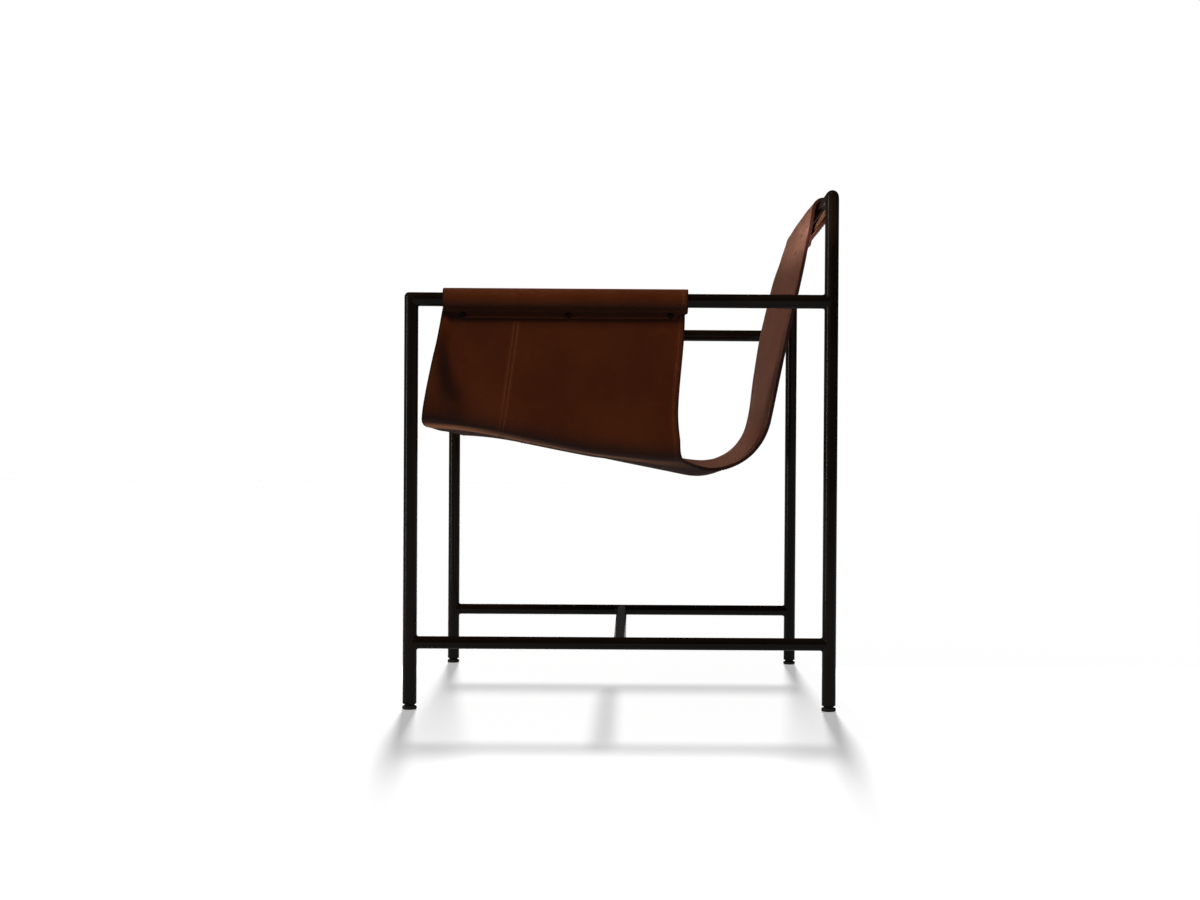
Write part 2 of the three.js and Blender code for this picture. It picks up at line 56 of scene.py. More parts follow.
HIDE_THICKNESS = 4.8
HIDE_HALF = HIDE_THICKNESS / 2
GAP = 0.3
SEAM_GAP = 0.04
LOOP_RADIUS = TUBE_RADIUS + GAP + HIDE_HALF
WING_X = LEG_X - LOOP_RADIUS
ARM_SLEEVE_FRONT = -256.0
ARM_SLEEVE_BACK = 95.5
BACK_SLEEVE_HALF = 200.0
SEAT_LOW_HEIGHT = 338.0
SEAT_SLOPE = math.radians(10.9)
BACK_LEAN = math.radians(12)
BEND_RADIUS = 105.0
SEAT_FRONT_REACH = 291.0
SEAT_FRONT_SETBACK = 8.0
FRONT_CORNER_HEIGHT = 11.0
FRONT_HOLLOW = 1.7
SEAT_FRONT_DROOP = 9.5
DROOP_LENGTH = 110.0
CORNER_START = 262.0
WING_CUT_SETBACK = 10.2
SLEEVE_NOTCH = 3.8
WING_CUT_HEIGHT = 46.0
WINDOW_CORNER_LENGTH = 88.0
HIDE_SET = 24.0
WING_RUN_SHARE = 0.955
SEAM_RUN = 118.2
EDGE_CURL = 3.4
EDGE_CURL_WIDTH = 32.0

ARM_FLAP_TURN = math.radians(75)
ARM_FLAP_BEND = 3.0
ARM_TAIL_LENGTH = 8.5
ARM_TAIL_FRONT_CUT = 32.0
ARM_TAIL_BACK_CUT = 18.0
BACK_FLAP_TURN = math.radians(25)
BACK_FLAP_BEND = 10.0
BACK_TAIL_LENGTH = 9.5
BACK_TAIL_SKIVE = 2.2
SCREW_HEAD_RADIUS = 4.0
SCREW_HEAD_HEIGHT = 1.6
ARM_SCREW_PLACES = (-228.0, -76.5, 71.0)
BACK_SCREW_INSET = 22.0
BACK_SCREW_COUNT = 4

EDGE_ROUNDING = 1.15
STITCH_INSET = 7.5
SEAM_STITCH_OFFSET = 2.8
STITCH_PITCH = 4.6

SIDES = {"left": 1, "right": -1}
ENDS = {"front": -1, "rear": 1}


# Meshes

def add_object(name, data):
    made = bpy.data.objects.new(name, data)
    bpy.context.scene.collection.objects.link(made)
    return made


def set_values(thing, **values):
    for key, value in values.items():
        setattr(thing, key, value)


def smooth(mesh):
    for polygon in mesh.polygons:
        polygon.use_smooth = True


def mesh_piece(name, points, faces, materials, body="root"):
    """A smooth piece from points in millimetres."""
    mesh = bpy.data.meshes.new(name)
    mesh.from_pydata((np.asarray(points, float) * MM).tolist(), [], faces)
    mesh.validate()
    smooth(mesh)
    for material in materials:
        mesh.materials.append(material)
    piece = add_object(name, mesh)
    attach(piece, body)
    return piece


def tube_faces(rings, sides, close_start=True, close_end=True):
    """Quads between rings that follow each other, and a face over each end if asked."""
    faces = [
        (low + side, low + (side + 1) % sides, low + sides + (side + 1) % sides, low + sides + side)
        for low in range(0, (rings - 1) * sides, sides) for side in range(sides)
    ]
    if close_start:
        faces.append(tuple(reversed(range(sides))))
    if close_end:
        faces.append(tuple(range((rings - 1) * sides, rings * sides)))
    return faces


def skin(name, rings, material, body="root", sharp=40, **ends):
    """A tube-like skin over a list of rings, creased where faces meet at more than sharp degrees."""
    faces = tube_faces(len(rings), len(rings[0]), **ends)
    piece = mesh_piece(name, np.concatenate(rings), faces, [material], body)
    piece.data.set_sharp_from_angle(angle=math.radians(sharp))
    return piece


def settle(piece):
    """Turns a piece's modifiers into its own mesh."""
    graph = bpy.context.evaluated_depsgraph_get()
    shaped = piece.evaluated_get(graph)
    made = bpy.data.meshes.new_from_object(shaped, preserve_all_data_layers=True, depsgraph=graph)
    piece.modifiers.clear()
    piece.data = made


def write_layer(mesh, label, values):
    layer = mesh.attributes.new(label, "FLOAT", "POINT")
    layer.data.foreach_set("value", values.astype(np.float32))


def read_layer(mesh, label):
    values = np.zeros(len(mesh.vertices), np.float32)
    mesh.attributes[label].data.foreach_get("value", values)
    return values


# Materials

def srgb(red, green, blue):
    """A screen colour of 0 to 255 as a linear colour."""
    out = []
    for channel in (red, green, blue):
        share = channel / 255
        out.append(share / 12.92 if share <= 0.04045 else ((share + 0.055) / 1.055) ** 2.4)
    return (*out, 1.0)


class Finish:
    """Short words for placing and joining the nodes of one material, group or world."""

    def __init__(self, tree):
        self.tree = tree

    def feed(self, socket, value):
        """Gives a socket a plain value, or joins another node's output to it."""
        if isinstance(value, (int, float, tuple)):
            socket.default_value = value
        else:
            self.tree.links.new(value, socket)

    def fill(self, node, **named):
        """Gives a node its settings and inputs by name."""
        for key, value in named.items():
            if hasattr(node, key):
                setattr(node, key, value)
            else:
                self.feed(node.inputs[key.replace("_", " ")], value)

    def node(self, kind, *values, **named):
        """A new node, with settings and inputs by name, and inputs in order."""
        made = self.tree.nodes.new(kind)
        self.fill(made, **named)
        for socket, value in zip(made.inputs, values):
            self.feed(socket, value)
        return made

    def math(self, operation, *values):
        return self.node("ShaderNodeMath", *values, operation=operation).outputs[0]

    def times(self, first, second):
        return self.math("MULTIPLY", first, second)

    def rest_of(self, value):
        """What a value from 0 to 1 leaves of 1."""
        return self.math("SUBTRACT", 1.0, value)

    def band(self, value, low, high):
        """0 below low and 1 above high, with soft ends."""
        made = self.node("ShaderNodeMapRange", interpolation_type="SMOOTHSTEP", clamp=True,
                         Value=value, From_Min=low, From_Max=high)
        return made.outputs["Result"]

    def scaled(self, value, low, high):
        """Maps 0 to 1 onto low to high."""
        return self.node("ShaderNodeMapRange", Value=value, To_Min=low, To_Max=high).outputs["Result"]

    def mix(self, factor, first, second):
        made = self.node("ShaderNodeMix", data_type="RGBA")
        for number, value in ((0, factor), (6, first), (7, second)):
            self.feed(made.inputs[number], value)
        return made.outputs[2]

    def tint(self, colour, mask, amount, over):
        """Lays the screen colour over on a colour where the mask is, up to an amount."""
        return self.mix(self.times(mask, amount), colour, srgb(*over))

    def blend(self, factor, first, second):
        """A mix of two plain values."""
        return self.math("MULTIPLY_ADD", factor, self.math("SUBTRACT", second, first), first)

    def noise(self, vector, scale, detail=3.0, roughness=0.5):
        made = self.node("ShaderNodeTexNoise", Vector=vector, Scale=scale, Detail=detail, Roughness=roughness)
        return made.outputs["Fac"]

    def place(self):
        return self.node("ShaderNodeTexCoord").outputs["Object"]

    def layer(self, name):
        return self.node("ShaderNodeAttribute", attribute_name=name).outputs["Fac"]

    def group(self, group, **values):
        return self.node("ShaderNodeGroup", node_tree=group, **values).outputs

    def bump(self, shader, height, strength, depth):
        made = self.node("ShaderNodeBump", Height=height, Strength=strength, Distance=depth)
        self.fill(shader, Normal=made.outputs["Normal"])

    def in_view(self):
        """1 for what the camera sees, straight or through glass, and 0 for light that bounces."""
        rays = self.node("ShaderNodeLightPath").outputs
        return self.math("MAXIMUM", rays["Is Camera Ray"], rays["Is Transmission Ray"])


def new_material(name):
    material = bpy.data.materials.new(name)
    material.use_nodes = True
    return material, Finish(material.node_tree), material.node_tree.nodes["Principled BSDF"]


def new_group(name, amounts, results):
    """A shader node group with a Vector input, named amounts and their usual values, and results."""
    group = bpy.data.node_groups.new(name, "ShaderNodeTree")
    group.interface.new_socket("Vector", in_out="INPUT", socket_type="NodeSocketVector")
    for label, value in amounts.items():
        socket = group.interface.new_socket(label, in_out="INPUT", socket_type="NodeSocketFloat")
        socket.default_value = value
    for label in results:
        group.interface.new_socket(label, in_out="OUTPUT", socket_type="NodeSocketFloat")
    f = Finish(group)
    return group, f, f.node("NodeGroupInput").outputs, f.node("NodeGroupOutput").inputs


def make_pebble_grain():
    """Leather grain: small closed cells with creases between them, and fine pores."""
    group, f, given, result = new_group(
        "pebble grain", {"Cell Scale": 900.0, "Pore Amount": 0.4}, ["Height", "Crease"])
    place = given["Vector"]
    warp = f.node("ShaderNodeTexNoise", Vector=place, Scale=160).outputs["Color"]
    shift = f.node("ShaderNodeVectorMath", warp, (0.0012, 0.0012, 0.0012), place, operation="MULTIPLY_ADD")
    cells = f.node("ShaderNodeTexVoronoi", feature="DISTANCE_TO_EDGE", Vector=shift.outputs[0],
                   Scale=given["Cell Scale"])
    crease = f.band(cells.outputs["Distance"], 0.0, 0.16)
    pores = f.band(f.noise(place, 2600, 2), 0.35, 0.5)
    f.feed(result["Height"], f.math("MULTIPLY_ADD", pores, given["Pore Amount"], crease))
    f.feed(result["Crease"], f.rest_of(crease))
    return group


def make_mottle():
    """Slow, cloudy change over a surface, as in dye and wax or in a coat of paint."""
    group, f, given, result = new_group("mottle", {"Scale": 9.0}, ["Cloud", "Streak"])
    cloud = f.noise(given["Vector"], given["Scale"], 5, 0.6)
    streak = f.noise(given["Vector"], f.times(given["Scale"], 6.0), 6, 0.72)
    f.feed(result["Cloud"], f.band(cloud, 0.3, 0.72))
    f.feed(result["Streak"], f.band(streak, 0.52, 0.7))
    return group


def make_rubbed_edges():
    """A mask of the corners that hands and floors rub."""
    group, f, given, result = new_group("rubbed edges", {"Sharpness": 0.56}, ["Rub"])
    broken = f.scaled(f.noise(given["Vector"], 140, 4), -0.04, 0.04)
    edge = f.math("ADD", f.node("ShaderNodeNewGeometry").outputs["Pointiness"], broken)
    f.feed(result["Rub"], f.band(f.math("SUBTRACT", edge, given["Sharpness"]), 0.0, 0.06))
    return group


PEBBLE_GRAIN = make_pebble_grain()
MOTTLE = make_mottle()
RUBBED_EDGES = make_rubbed_edges()

# Millimetres from the thread's line over which the groove and the puff beside it end, and
# millimetres from the cut over which the painted edge's stain ends
GROOVE_ENDS = (0.15, 1.3)
PUFF_ENDS = (1.2, 4.5)
STAIN_ENDS = (1.5, 2.9)
GROOVE_DEPTH = 2.2
PUFF_HEIGHT = 0.9
DULL_ROUGHNESS = 0.85


def saddle_leather():
    """Waxed brown hide with darker grain creases, and with light and shade painted into its colour."""
    material, f, shader = new_material("saddle leather")
    place = f.place()
    grain = f.group(PEBBLE_GRAIN, Vector=place, Cell_Scale=620.0, Pore_Amount=0.35)
    mottle = f.group(MOTTLE, Vector=place, Scale=7.0)
    off_line = f.math("ABSOLUTE", f.layer("line_distance"))
    # Near the thread's line, the groove's rest is painted shade in the dent and the puff beside it is a
    # painted highlight; both also shape the bump.
    groove = f.band(off_line, *GROOVE_ENDS)
    puff = f.times(groove, f.rest_of(f.band(off_line, *PUFF_ENDS)))
    inner_shade, shaded_underside, pale_light = (f.layer(name) for name in ("inner_shade", "dull_shaded_underside", "pale_reflection_and_lining_light"))
    colour = f.mix(mottle["Cloud"], srgb(52, 17, 2), srgb(64, 26, 5))
    # Over the hide's cloudy tone go its streaks and darker grain creases, and then the painted light and
    # shade: a highlight on the puff beside each thread; shade in the thread's groove, in the fold behind each
    # wing's edge, at the seat's bend, on the back's rim and on the underside; a pale reflection where the
    # wing turns under; light on the sleeve's lining. Last comes the painted edge's dark stain.
    for mask, amount, over in (
        (mottle["Streak"], 0.25, (76, 34, 12)), (grain["Crease"], 0.35, (36, 13, 6)),
        (puff, 0.22, (88, 42, 18)), (f.rest_of(groove), 0.6, (28, 10, 5)),
        (f.layer("fold_shade"), 0.92, (20, 7, 5)), (inner_shade, 0.75, (26, 10, 5)),
        (shaded_underside, 0.7, (34, 11, 2)), (pale_light, 1.0, (240, 160, 116)),
        (f.rest_of(f.band(f.layer("edge_distance"), *STAIN_ENDS)), 0.85, (18, 7, 4)),
    ):
        colour = f.tint(colour, mask, amount, over)
    waxed = f.math("ADD", f.scaled(mottle["Cloud"], 0.31, 0.38), f.times(grain["Crease"], 0.12))
    dull = f.math("MAXIMUM", f.math("MAXIMUM", shaded_underside, pale_light), f.times(inner_shade, 0.8))
    f.fill(shader, Base_Color=colour, Roughness=f.blend(dull, waxed, DULL_ROUGHNESS), Specular_IOR_Level=0.2,
           Sheen_Weight=0.12, Sheen_Roughness=0.4, Sheen_Tint=srgb(255, 188, 158))
    height = f.math("MULTIPLY_ADD", groove, GROOVE_DEPTH, grain["Height"])
    f.bump(shader, f.math("MULTIPLY_ADD", puff, PUFF_HEIGHT, height), strength=0.42, depth=0.0004)
    return material


def waxed_thread():
    """Bonded brown thread with its plies showing."""
    material, f, shader = new_material("waxed thread")
    place = f.place()
    plies = f.node("ShaderNodeTexWave", bands_direction="DIAGONAL", Scale=900, Distortion=0.6, Vector=place)
    plies = plies.outputs["Fac"]
    f.fill(shader, Base_Color=f.mix(plies, srgb(70, 34, 15), srgb(96, 50, 24)),
           Roughness=f.scaled(f.noise(place, 300), 0.5, 0.66))
    f.bump(shader, plies, strength=0.3, depth=0.0002)
    return material


def coat(name, colours, cloud_scale, roughness, bumps, wear=None, metal=0.0, specular=0.5):
    """A painted, plated or moulded finish that drifts between two colours. bumps gives the scale,
    detail, strength and depth of its fine peel, and wear the sharpness that corners need to be
    rubbed, how much they are and to which colour."""
    material, f, shader = new_material(name)
    place = f.place()
    mottle = f.group(MOTTLE, Vector=place, Scale=cloud_scale)
    colour = f.mix(mottle["Cloud"], srgb(*colours[0]), srgb(*colours[1]))
    if wear:
        sharpness, amount, worn = wear
        rub = f.group(RUBBED_EDGES, Vector=place, Sharpness=sharpness)["Rub"]
        colour = f.tint(colour, rub, amount, worn)
    scale, detail, strength, depth = bumps
    f.fill(shader, Base_Color=colour, Roughness=f.scaled(mottle["Streak"], *roughness), Metallic=metal,
           Specular_IOR_Level=specular)
    f.bump(shader, f.noise(place, scale, detail), strength, depth)
    return material


LEATHER = saddle_leather()
# Several coats of dark paint, burnished on the cut edge of the hide
EDGE_PAINT = coat("edge paint", ((24, 11, 8), (38, 17, 11)), 40.0, (0.34, 0.46), (900, 3, 0.12, 0.0003))
THREAD = waxed_thread()
# Satin black powder coat with its fine orange peel, a little worn at the corners
FRAME_PAINT = coat("black frame paint", ((10, 5, 2), (14, 8, 4)), 14.0, (0.17, 0.25), (700, 2, 0.02, 0.0004),
                   wear=(0.6, 0.25, (44, 38, 32)), specular=0.36)
# Moulded black plastic, scuffed pale round its edges
PLASTIC = coat("glide plastic", ((15, 14, 13), (24, 22, 21)), 60.0, (0.5, 0.66), (1600, 2, 0.15, 0.0003),
               wear=(0.54, 0.5, (66, 62, 58)))
# Chemically blackened steel, dulled in patches
STEEL = coat("blackened steel", ((48, 45, 42), (66, 62, 58)), 90.0, (0.3, 0.45), (1200, 3, 0.08, 0.0002),
             metal=1.0)
# Dark bronze on the sleeve screws and brown lacquer on the back's inner heads, rubbed at the rims
BRASS, BROWN_LACQUER = (
    coat(name, colours, 200.0, (0.28, 0.42), (1500, 3, 0.08, 0.0002), (0.55, 0.6, (86, 62, 38)), metal)
    for name, colours, metal in (
        ("browned brass", ((26, 17, 12), (40, 27, 18)), 0.9),
        ("brown lacquer", ((62, 27, 12), (76, 35, 17)), 0.0),
    )
)


# The frame: welded round tube

TUBE_SIDES = 48
TURNS = np.linspace(0, 2 * math.pi, TUBE_SIDES, endpoint=False)
CORNER_RINGS = 7
WELD_RINGS = 6
# The fillet's least share of its full size, how deep its foot goes into the post, and the
# ripples of the bead: how deep, how many round the tube and where begun
WELD_LEAST = 0.12
WELD_SUNK = 0.15
WELD_RIPPLES = ((0.1, 9, 0), (0.06, 23, 1))


def unit(x, y, z):
    return np.array([x, y, z], float)


UP, BACK, ACROSS = unit(0, 0, 1), unit(0, 1, 0), unit(1, 0, 0)


def ring(centre, outward, side, radius):
    """A circle of points; outward is its first point's direction and side its quarter turn."""
    return centre + radius * (np.outer(np.cos(TURNS), outward) + np.outer(np.sin(TURNS), side))


def corner_rings(corner, before, after, side):
    """Rings round a mitred corner whose sharp edge is ground round. before and after run along
    the tubes in the direction of travel."""
    mitre = ring(corner, before - after, side, TUBE_RADIUS)
    rounding = INNER_CORNER_ROUNDING + (CORNER_ROUNDING - INNER_CORNER_ROUNDING) * (1 + np.cos(TURNS)) / 2
    rings = []
    for angle in np.linspace(0, math.pi / 2, CORNER_RINGS):
        step = before * (math.sin(angle) - 1) + after * (1 - math.cos(angle))
        rings.append(mitre + np.outer(rounding, step))
    return rings


def weld_rings(start, towards, side, radius, post_axis, post_radius, post_centre):
    """Rings where a tube butts on a round post, with a small weld fillet spread on the post."""
    directions = ring(0, UP, side, 1)
    off_axis = directions @ np.cross(post_axis, towards) * radius
    reach = np.dot(post_centre - start, towards) - np.sqrt(np.maximum(post_radius ** 2 - off_axis ** 2, 0))
    meet = start + radius * directions + np.outer(reach, towards)
    lift = directions @ post_axis
    size = WELD_FILLET * np.maximum(np.abs(lift), WELD_LEAST)
    size = size * (1 + sum(depth * np.sin(count * TURNS + begun) for depth, count, begun in WELD_RIPPLES))
    on_tube = meet - np.outer(size, towards)
    on_post = meet + np.outer(size * np.sign(lift) * np.minimum(1, np.abs(lift) * 3), post_axis)
    on_post = on_post + WELD_SUNK * towards
    return [
        (1 - share) ** 2 * on_tube + 2 * share * (1 - share) * meet + share ** 2 * on_post
        for share in np.linspace(0, 1, WELD_RINGS)
    ]


def leg_foot_rings(x, y, outward, side):
    """The open lower end of a leg: up its bore, round the deburred rim and out."""
    profile = [(0.5, 46), (TUBE_BORE, 46), (TUBE_BORE, LEG_FOOT + 0.5), (TUBE_BORE + 0.5, LEG_FOOT),
               (TUBE_RADIUS - 0.6, LEG_FOOT), (TUBE_RADIUS, LEG_FOOT + 0.6), (TUBE_RADIUS, LEG_FOOT + 4)]
    return [ring(unit(x, y, z), outward, side, radius) for radius, z in profile]


def side_frame(name, sign):
    """A front leg and its arm rail, mitred at the front and welded to the rear leg."""
    x = sign * LEG_X
    corner, rear_leg = unit(x, -LEG_Y, ARM_HEIGHT), unit(x, LEG_Y, ARM_HEIGHT)
    rings = leg_foot_rings(x, -LEG_Y, -BACK, ACROSS)
    rings += corner_rings(corner, UP, BACK, ACROSS)
    rings += weld_rings(corner, BACK, ACROSS, TUBE_RADIUS, UP, TUBE_RADIUS, rear_leg)
    piece = skin(f"side_frame_{name}", rings, FRAME_PAINT, close_end=False)
    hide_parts(f"front_leg_{name}", f"arm_rail_{name}")
    return piece


def rear_hoop():
    """Both rear legs and the top rail between them, mitred at the top corners."""
    rings = leg_foot_rings(LEG_X, LEG_Y, ACROSS, BACK)
    rings += corner_rings(unit(LEG_X, LEG_Y, TOP_RAIL_HEIGHT), UP, -ACROSS, BACK)
    rings += corner_rings(unit(-LEG_X, LEG_Y, TOP_RAIL_HEIGHT), -ACROSS, -UP, BACK)
    rings += leg_foot_rings(-LEG_X, LEG_Y, -ACROSS, BACK)[::-1]
    piece = skin("rear_hoop", rings, FRAME_PAINT)
    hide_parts("rear_leg_left", "rear_leg_right", "top_rail")
    return piece


def stretcher(name, node, x, along, side, half, post_axis, post_radius):
    """A tube between two posts, welded at both ends."""
    middle = unit(x, 0, STRETCHER_HEIGHT)
    first, last = (
        weld_rings(middle, way, side, STRETCHER_RADIUS, post_axis, post_radius, middle + half * way)
        for way in (-along, along)
    )
    piece = skin(name, first[::-1] + last, FRAME_PAINT, close_start=False, close_end=False)
    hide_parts(node)
    return piece


tubes = [side_frame(name, sign) for name, sign in SIDES.items()] + [rear_hoop()]
for name, sign in SIDES.items():
    stretcher(f"stretcher_{name}", f"side_stretcher_{name}",
              sign * LEG_X, BACK, ACROSS, LEG_Y, UP, TUBE_RADIUS)
stretcher("stretcher_cross", "cross_stretcher", 0, ACROSS, BACK, LEG_X, BACK, STRETCHER_RADIUS)


# Levelling glides, with profiles as radius and height in millimetres

PAD_PROFILE = [
    (0.2, 0), (8.4, 0), (9.3, 0.2), (10.1, 0.8), (10.5, 1.7), (10.5, 2.5), (10.25, 2.75), (10.5, 3.0),
    (10.5, 3.7), (10.2, 4.6), (9.5, 5.2), (8.7, 5.4), (5.2, 5.4), (4.85, 5.15), (4.8, 2.8), (0.2, 2.8),
]
SPIGOT_AND_FLANGE = [
    (0.2, 3.1), (3.9, 3.1), (4.4, 3.5), (4.5, 4.2), (4.5, 5.7), (6.9, 5.7), (7.5, 6.1), (7.5, 7.4),
    (6.9, 7.8), (3.6, 7.8),
]
STUD_RADIUS = 4.0
STUD_THREAD_LOW, STUD_THREAD_HIGH = 8.2, 29.5
THREAD_PITCH = 1.25
THREAD_DEPTH = 0.62
# Where a ridge's crest starts and ends, as shares of the pitch
CREST = (0.42, 0.56)
FLANGE_ACROSS_CORNERS = 15.0


def turned(name, profile, centre, axis, material, body="root", shape=None, sides=TUBE_SIDES):
    """A turned piece: profile holds (radius, height) along axis from its lower end."""
    helper = UP if abs(axis[2]) < 0.9 else BACK
    outward = np.cross(helper, axis)
    outward = outward / np.linalg.norm(outward)
    side = np.cross(axis, outward)
    turns = np.linspace(0, 2 * math.pi, sides, endpoint=False)
    rings = []
    for radius, height in profile:
        radii = np.full(sides, float(radius)) if shape is None else shape(radius, turns)
        spread = np.outer(radii * np.cos(turns), outward) + np.outer(radii * np.sin(turns), side)
        rings.append(centre + height * axis + spread)
    return skin(name, rings, material, body, sharp=38)


def hexagon(radius, turns):
    """Limits a turned radius to the flange's hexagon, with its corners chamfered by the turning."""
    flat = FLANGE_ACROSS_CORNERS / 2 * math.cos(math.pi / 6)
    angle = (turns + math.pi / 6) % (math.pi / 3) - math.pi / 6
    return np.minimum(radius, flat / np.cos(angle))


def thread_profile():
    """The stud's thread, one ridge a turn, and its chamfered end."""
    root = STUD_RADIUS - THREAD_DEPTH
    profile = []
    height = STUD_THREAD_LOW
    while height + THREAD_PITCH < STUD_THREAD_HIGH:
        profile += [(root, height)] + [(STUD_RADIUS, height + THREAD_PITCH * share) for share in CREST]
        height += THREAD_PITCH
    return profile + [(root, height), (STUD_RADIUS - 0.8, STUD_THREAD_HIGH), (0.2, STUD_THREAD_HIGH)]


def glide(end, side):
    name = f"{end}_{side}"
    foot = unit(SIDES[side] * LEG_X, ENDS[end] * LEG_Y, 0)
    pad = turned(f"pad_{name}", PAD_PROFILE, foot, UP, PLASTIC, f"pad_{name}")
    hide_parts(f"glide_pad_{name}")
    stud_profile = SPIGOT_AND_FLANGE + thread_profile()
    stud = turned(f"stud_{name}", stud_profile, foot, UP, STEEL, f"stud_{name}", hexagon)
    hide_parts(f"glide_stud_{name}")
    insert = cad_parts[f"glide_insert_{name}"]
    insert.data.materials.clear()
    insert.data.materials.append(STEEL)


for end_name in ENDS:
    for side_name in SIDES:
        glide(end_name, side_name)


# The sling's surface. A place on it is its girth, round the hide from the middle line, and its
# run, along the hide from the front edge.

def smooth_step(low, high, value):
    share = np.clip((value - low) / (high - low), 0, 1)
    return share * share * (3 - 2 * share)


def between(rise, fall, value):
    """0 outside and 1 inside, with a soft rise and fall, each given as two ends."""
    return smooth_step(*rise, value) * (1 - smooth_step(*fall, value))


class Route:
    """A line of straight and curved stretches in a plane, read by distance along it."""

    def __init__(self, start, heading, stretches):
        parts = []
        a, b, begun = start[0], start[1], 0.0
        for length, turn in stretches:
            parts.append((begun, length, turn, a, b, heading))
            a, b, heading = (float(v) for v in self.walk(length, turn, a, b, heading, length))
            begun += length
        self.length = begun
        self.table = np.array(parts)

    @staticmethod
    def walk(length, turn, a, b, heading, distance):
        bend = turn / length
        after = heading + bend * distance
        straight = np.abs(bend) < 1e-9
        radius = 1 / np.where(straight, 1.0, bend)
        along_a = np.where(straight, distance * np.cos(heading), radius * (np.sin(after) - np.sin(heading)))
        along_b = np.where(straight, distance * np.sin(heading), radius * (np.cos(heading) - np.cos(after)))
        return a + along_a, b + along_b, after

    def at(self, distance):
        distance = np.asarray(distance, float)
        index = np.clip(np.searchsorted(self.table[:, 0], distance, side="right") - 1, 0, len(self.table) - 1)
        begun, length, turn, a, b, heading = (self.table[index, k] for k in range(6))
        return self.walk(length, turn, a, b, heading, distance - begun)


def flap_length(turn, bend):
    """The straight part of a sleeve's flap, from its loop to the bend that lays its tail flat."""
    reach = LOOP_RADIUS * (1 - math.cos(math.pi + turn)) - HIDE_THICKNESS - GAP
    return (reach - bend * (1 - math.cos(turn))) / math.sin(turn)


MID_BEND = BEND_RADIUS - HIDE_HALF
BEND_TURN = SEAT_SLOPE + math.pi / 2 - BACK_LEAN
BACK_TOP_Y = LEG_Y - LOOP_RADIUS * math.cos(BACK_LEAN)
BACK_TOP_Z = TOP_RAIL_HEIGHT + LOOP_RADIUS * math.sin(BACK_LEAN)
BEND_CENTRE_Z = SEAT_LOW_HEIGHT + BEND_RADIUS
BACK_LENGTH = (BACK_TOP_Z + MID_BEND * math.sin(BACK_LEAN) - BEND_CENTRE_Z) / math.cos(BACK_LEAN)
BEND_CENTRE_Y = BACK_TOP_Y - BACK_LENGTH * math.sin(BACK_LEAN) - MID_BEND * math.cos(BACK_LEAN)
SEAT_BACK_Y = BEND_CENTRE_Y - MID_BEND * math.sin(SEAT_SLOPE)
SEAT_BACK_Z = BEND_CENTRE_Z - MID_BEND * math.cos(SEAT_SLOPE)
SEAT_LENGTH = (SEAT_BACK_Y + SEAT_FRONT_REACH) / math.cos(SEAT_SLOPE)
BACK_LOOP_TURN = math.pi + BACK_FLAP_TURN
BACK_FLAP_LENGTH = flap_length(BACK_FLAP_TURN, BACK_FLAP_BEND)
SPINE = Route(
    (SEAT_BACK_Y - SEAT_LENGTH * math.cos(SEAT_SLOPE), SEAT_BACK_Z + SEAT_LENGTH * math.sin(SEAT_SLOPE)),
    -SEAT_SLOPE,
    [(SEAT_LENGTH, 0.0), (MID_BEND * BEND_TURN, BEND_TURN), (BACK_LENGTH, 0.0),
     (LOOP_RADIUS * BACK_LOOP_TURN, -BACK_LOOP_TURN), (BACK_FLAP_LENGTH, 0.0),
     (BACK_FLAP_BEND * BACK_FLAP_TURN, BACK_FLAP_TURN), (BACK_TAIL_LENGTH, 0.0)],
)
LOW_RUN = SEAT_LENGTH + MID_BEND * SEAT_SLOPE
BEND_END_RUN = SEAT_LENGTH + MID_BEND * BEND_TURN
TOP_RUN = BEND_END_RUN + BACK_LENGTH
BACK_FLAP_RUN = TOP_RUN + LOOP_RADIUS * BACK_LOOP_TURN
BACK_TAIL_RUN = SPINE.length - BACK_TAIL_LENGTH
WING_RUN = SEAT_LENGTH * WING_RUN_SHARE

ARM_LOOP_TURN = math.pi + ARM_FLAP_TURN
ARM_FLAP_LENGTH = flap_length(ARM_FLAP_TURN, ARM_FLAP_BEND)
ARM_ROUTE = Route(
    (WING_X, ARM_HEIGHT),
    math.pi / 2,
    [(LOOP_RADIUS * ARM_LOOP_TURN, -ARM_LOOP_TURN), (ARM_FLAP_LENGTH, 0.0),
     (ARM_FLAP_BEND * ARM_FLAP_TURN, ARM_FLAP_TURN), (ARM_TAIL_LENGTH, 0.0)],
)
ARM_TAIL_START = ARM_ROUTE.length - ARM_TAIL_LENGTH

CORNER_GIRTH = (WING_X - CORNER_START) * math.pi / 2
WING_START = CORNER_START + CORNER_GIRTH
WING_HEIGHT = ARM_HEIGHT - SEAT_LOW_HEIGHT - BEND_RADIUS / 2
SLEEVE_START = WING_START + WING_HEIGHT
GIRTH_END = SLEEVE_START + ARM_ROUTE.length
WINDOW_GIRTH = WING_START + WING_CUT_HEIGHT - BACK_SLEEVE_HALF
WINDOW_EDGE = BACK_SLEEVE_HALF + WINDOW_GIRTH
SLOPE_STEP = 5

# Where the shapes of cut and hand fade in or out, as girths or as runs
HOLLOW_FADE = (SLEEVE_START - 90, SLEEVE_START - 10)
NOTCH_FADE = (SLEEVE_START - 18, SLEEVE_START - 1)
RISE_FADE = (WINDOW_EDGE - 5, SLEEVE_START - 30)
WAVE_SIDE_FADE = (SLEEVE_START - 60, SLEEVE_START - 25)
WAVE_TOP_FADE = (TOP_RUN - 90, TOP_RUN - 60)
LOFT_RISE, LOFT_FALL = (TOP_RUN - 40, TOP_RUN - 10), (TOP_RUN + 8, TOP_RUN + 34)
CURL_RISE, CURL_FALL = (LOW_RUN, LOW_RUN + 60), (TOP_RUN - 260, TOP_RUN - 110)

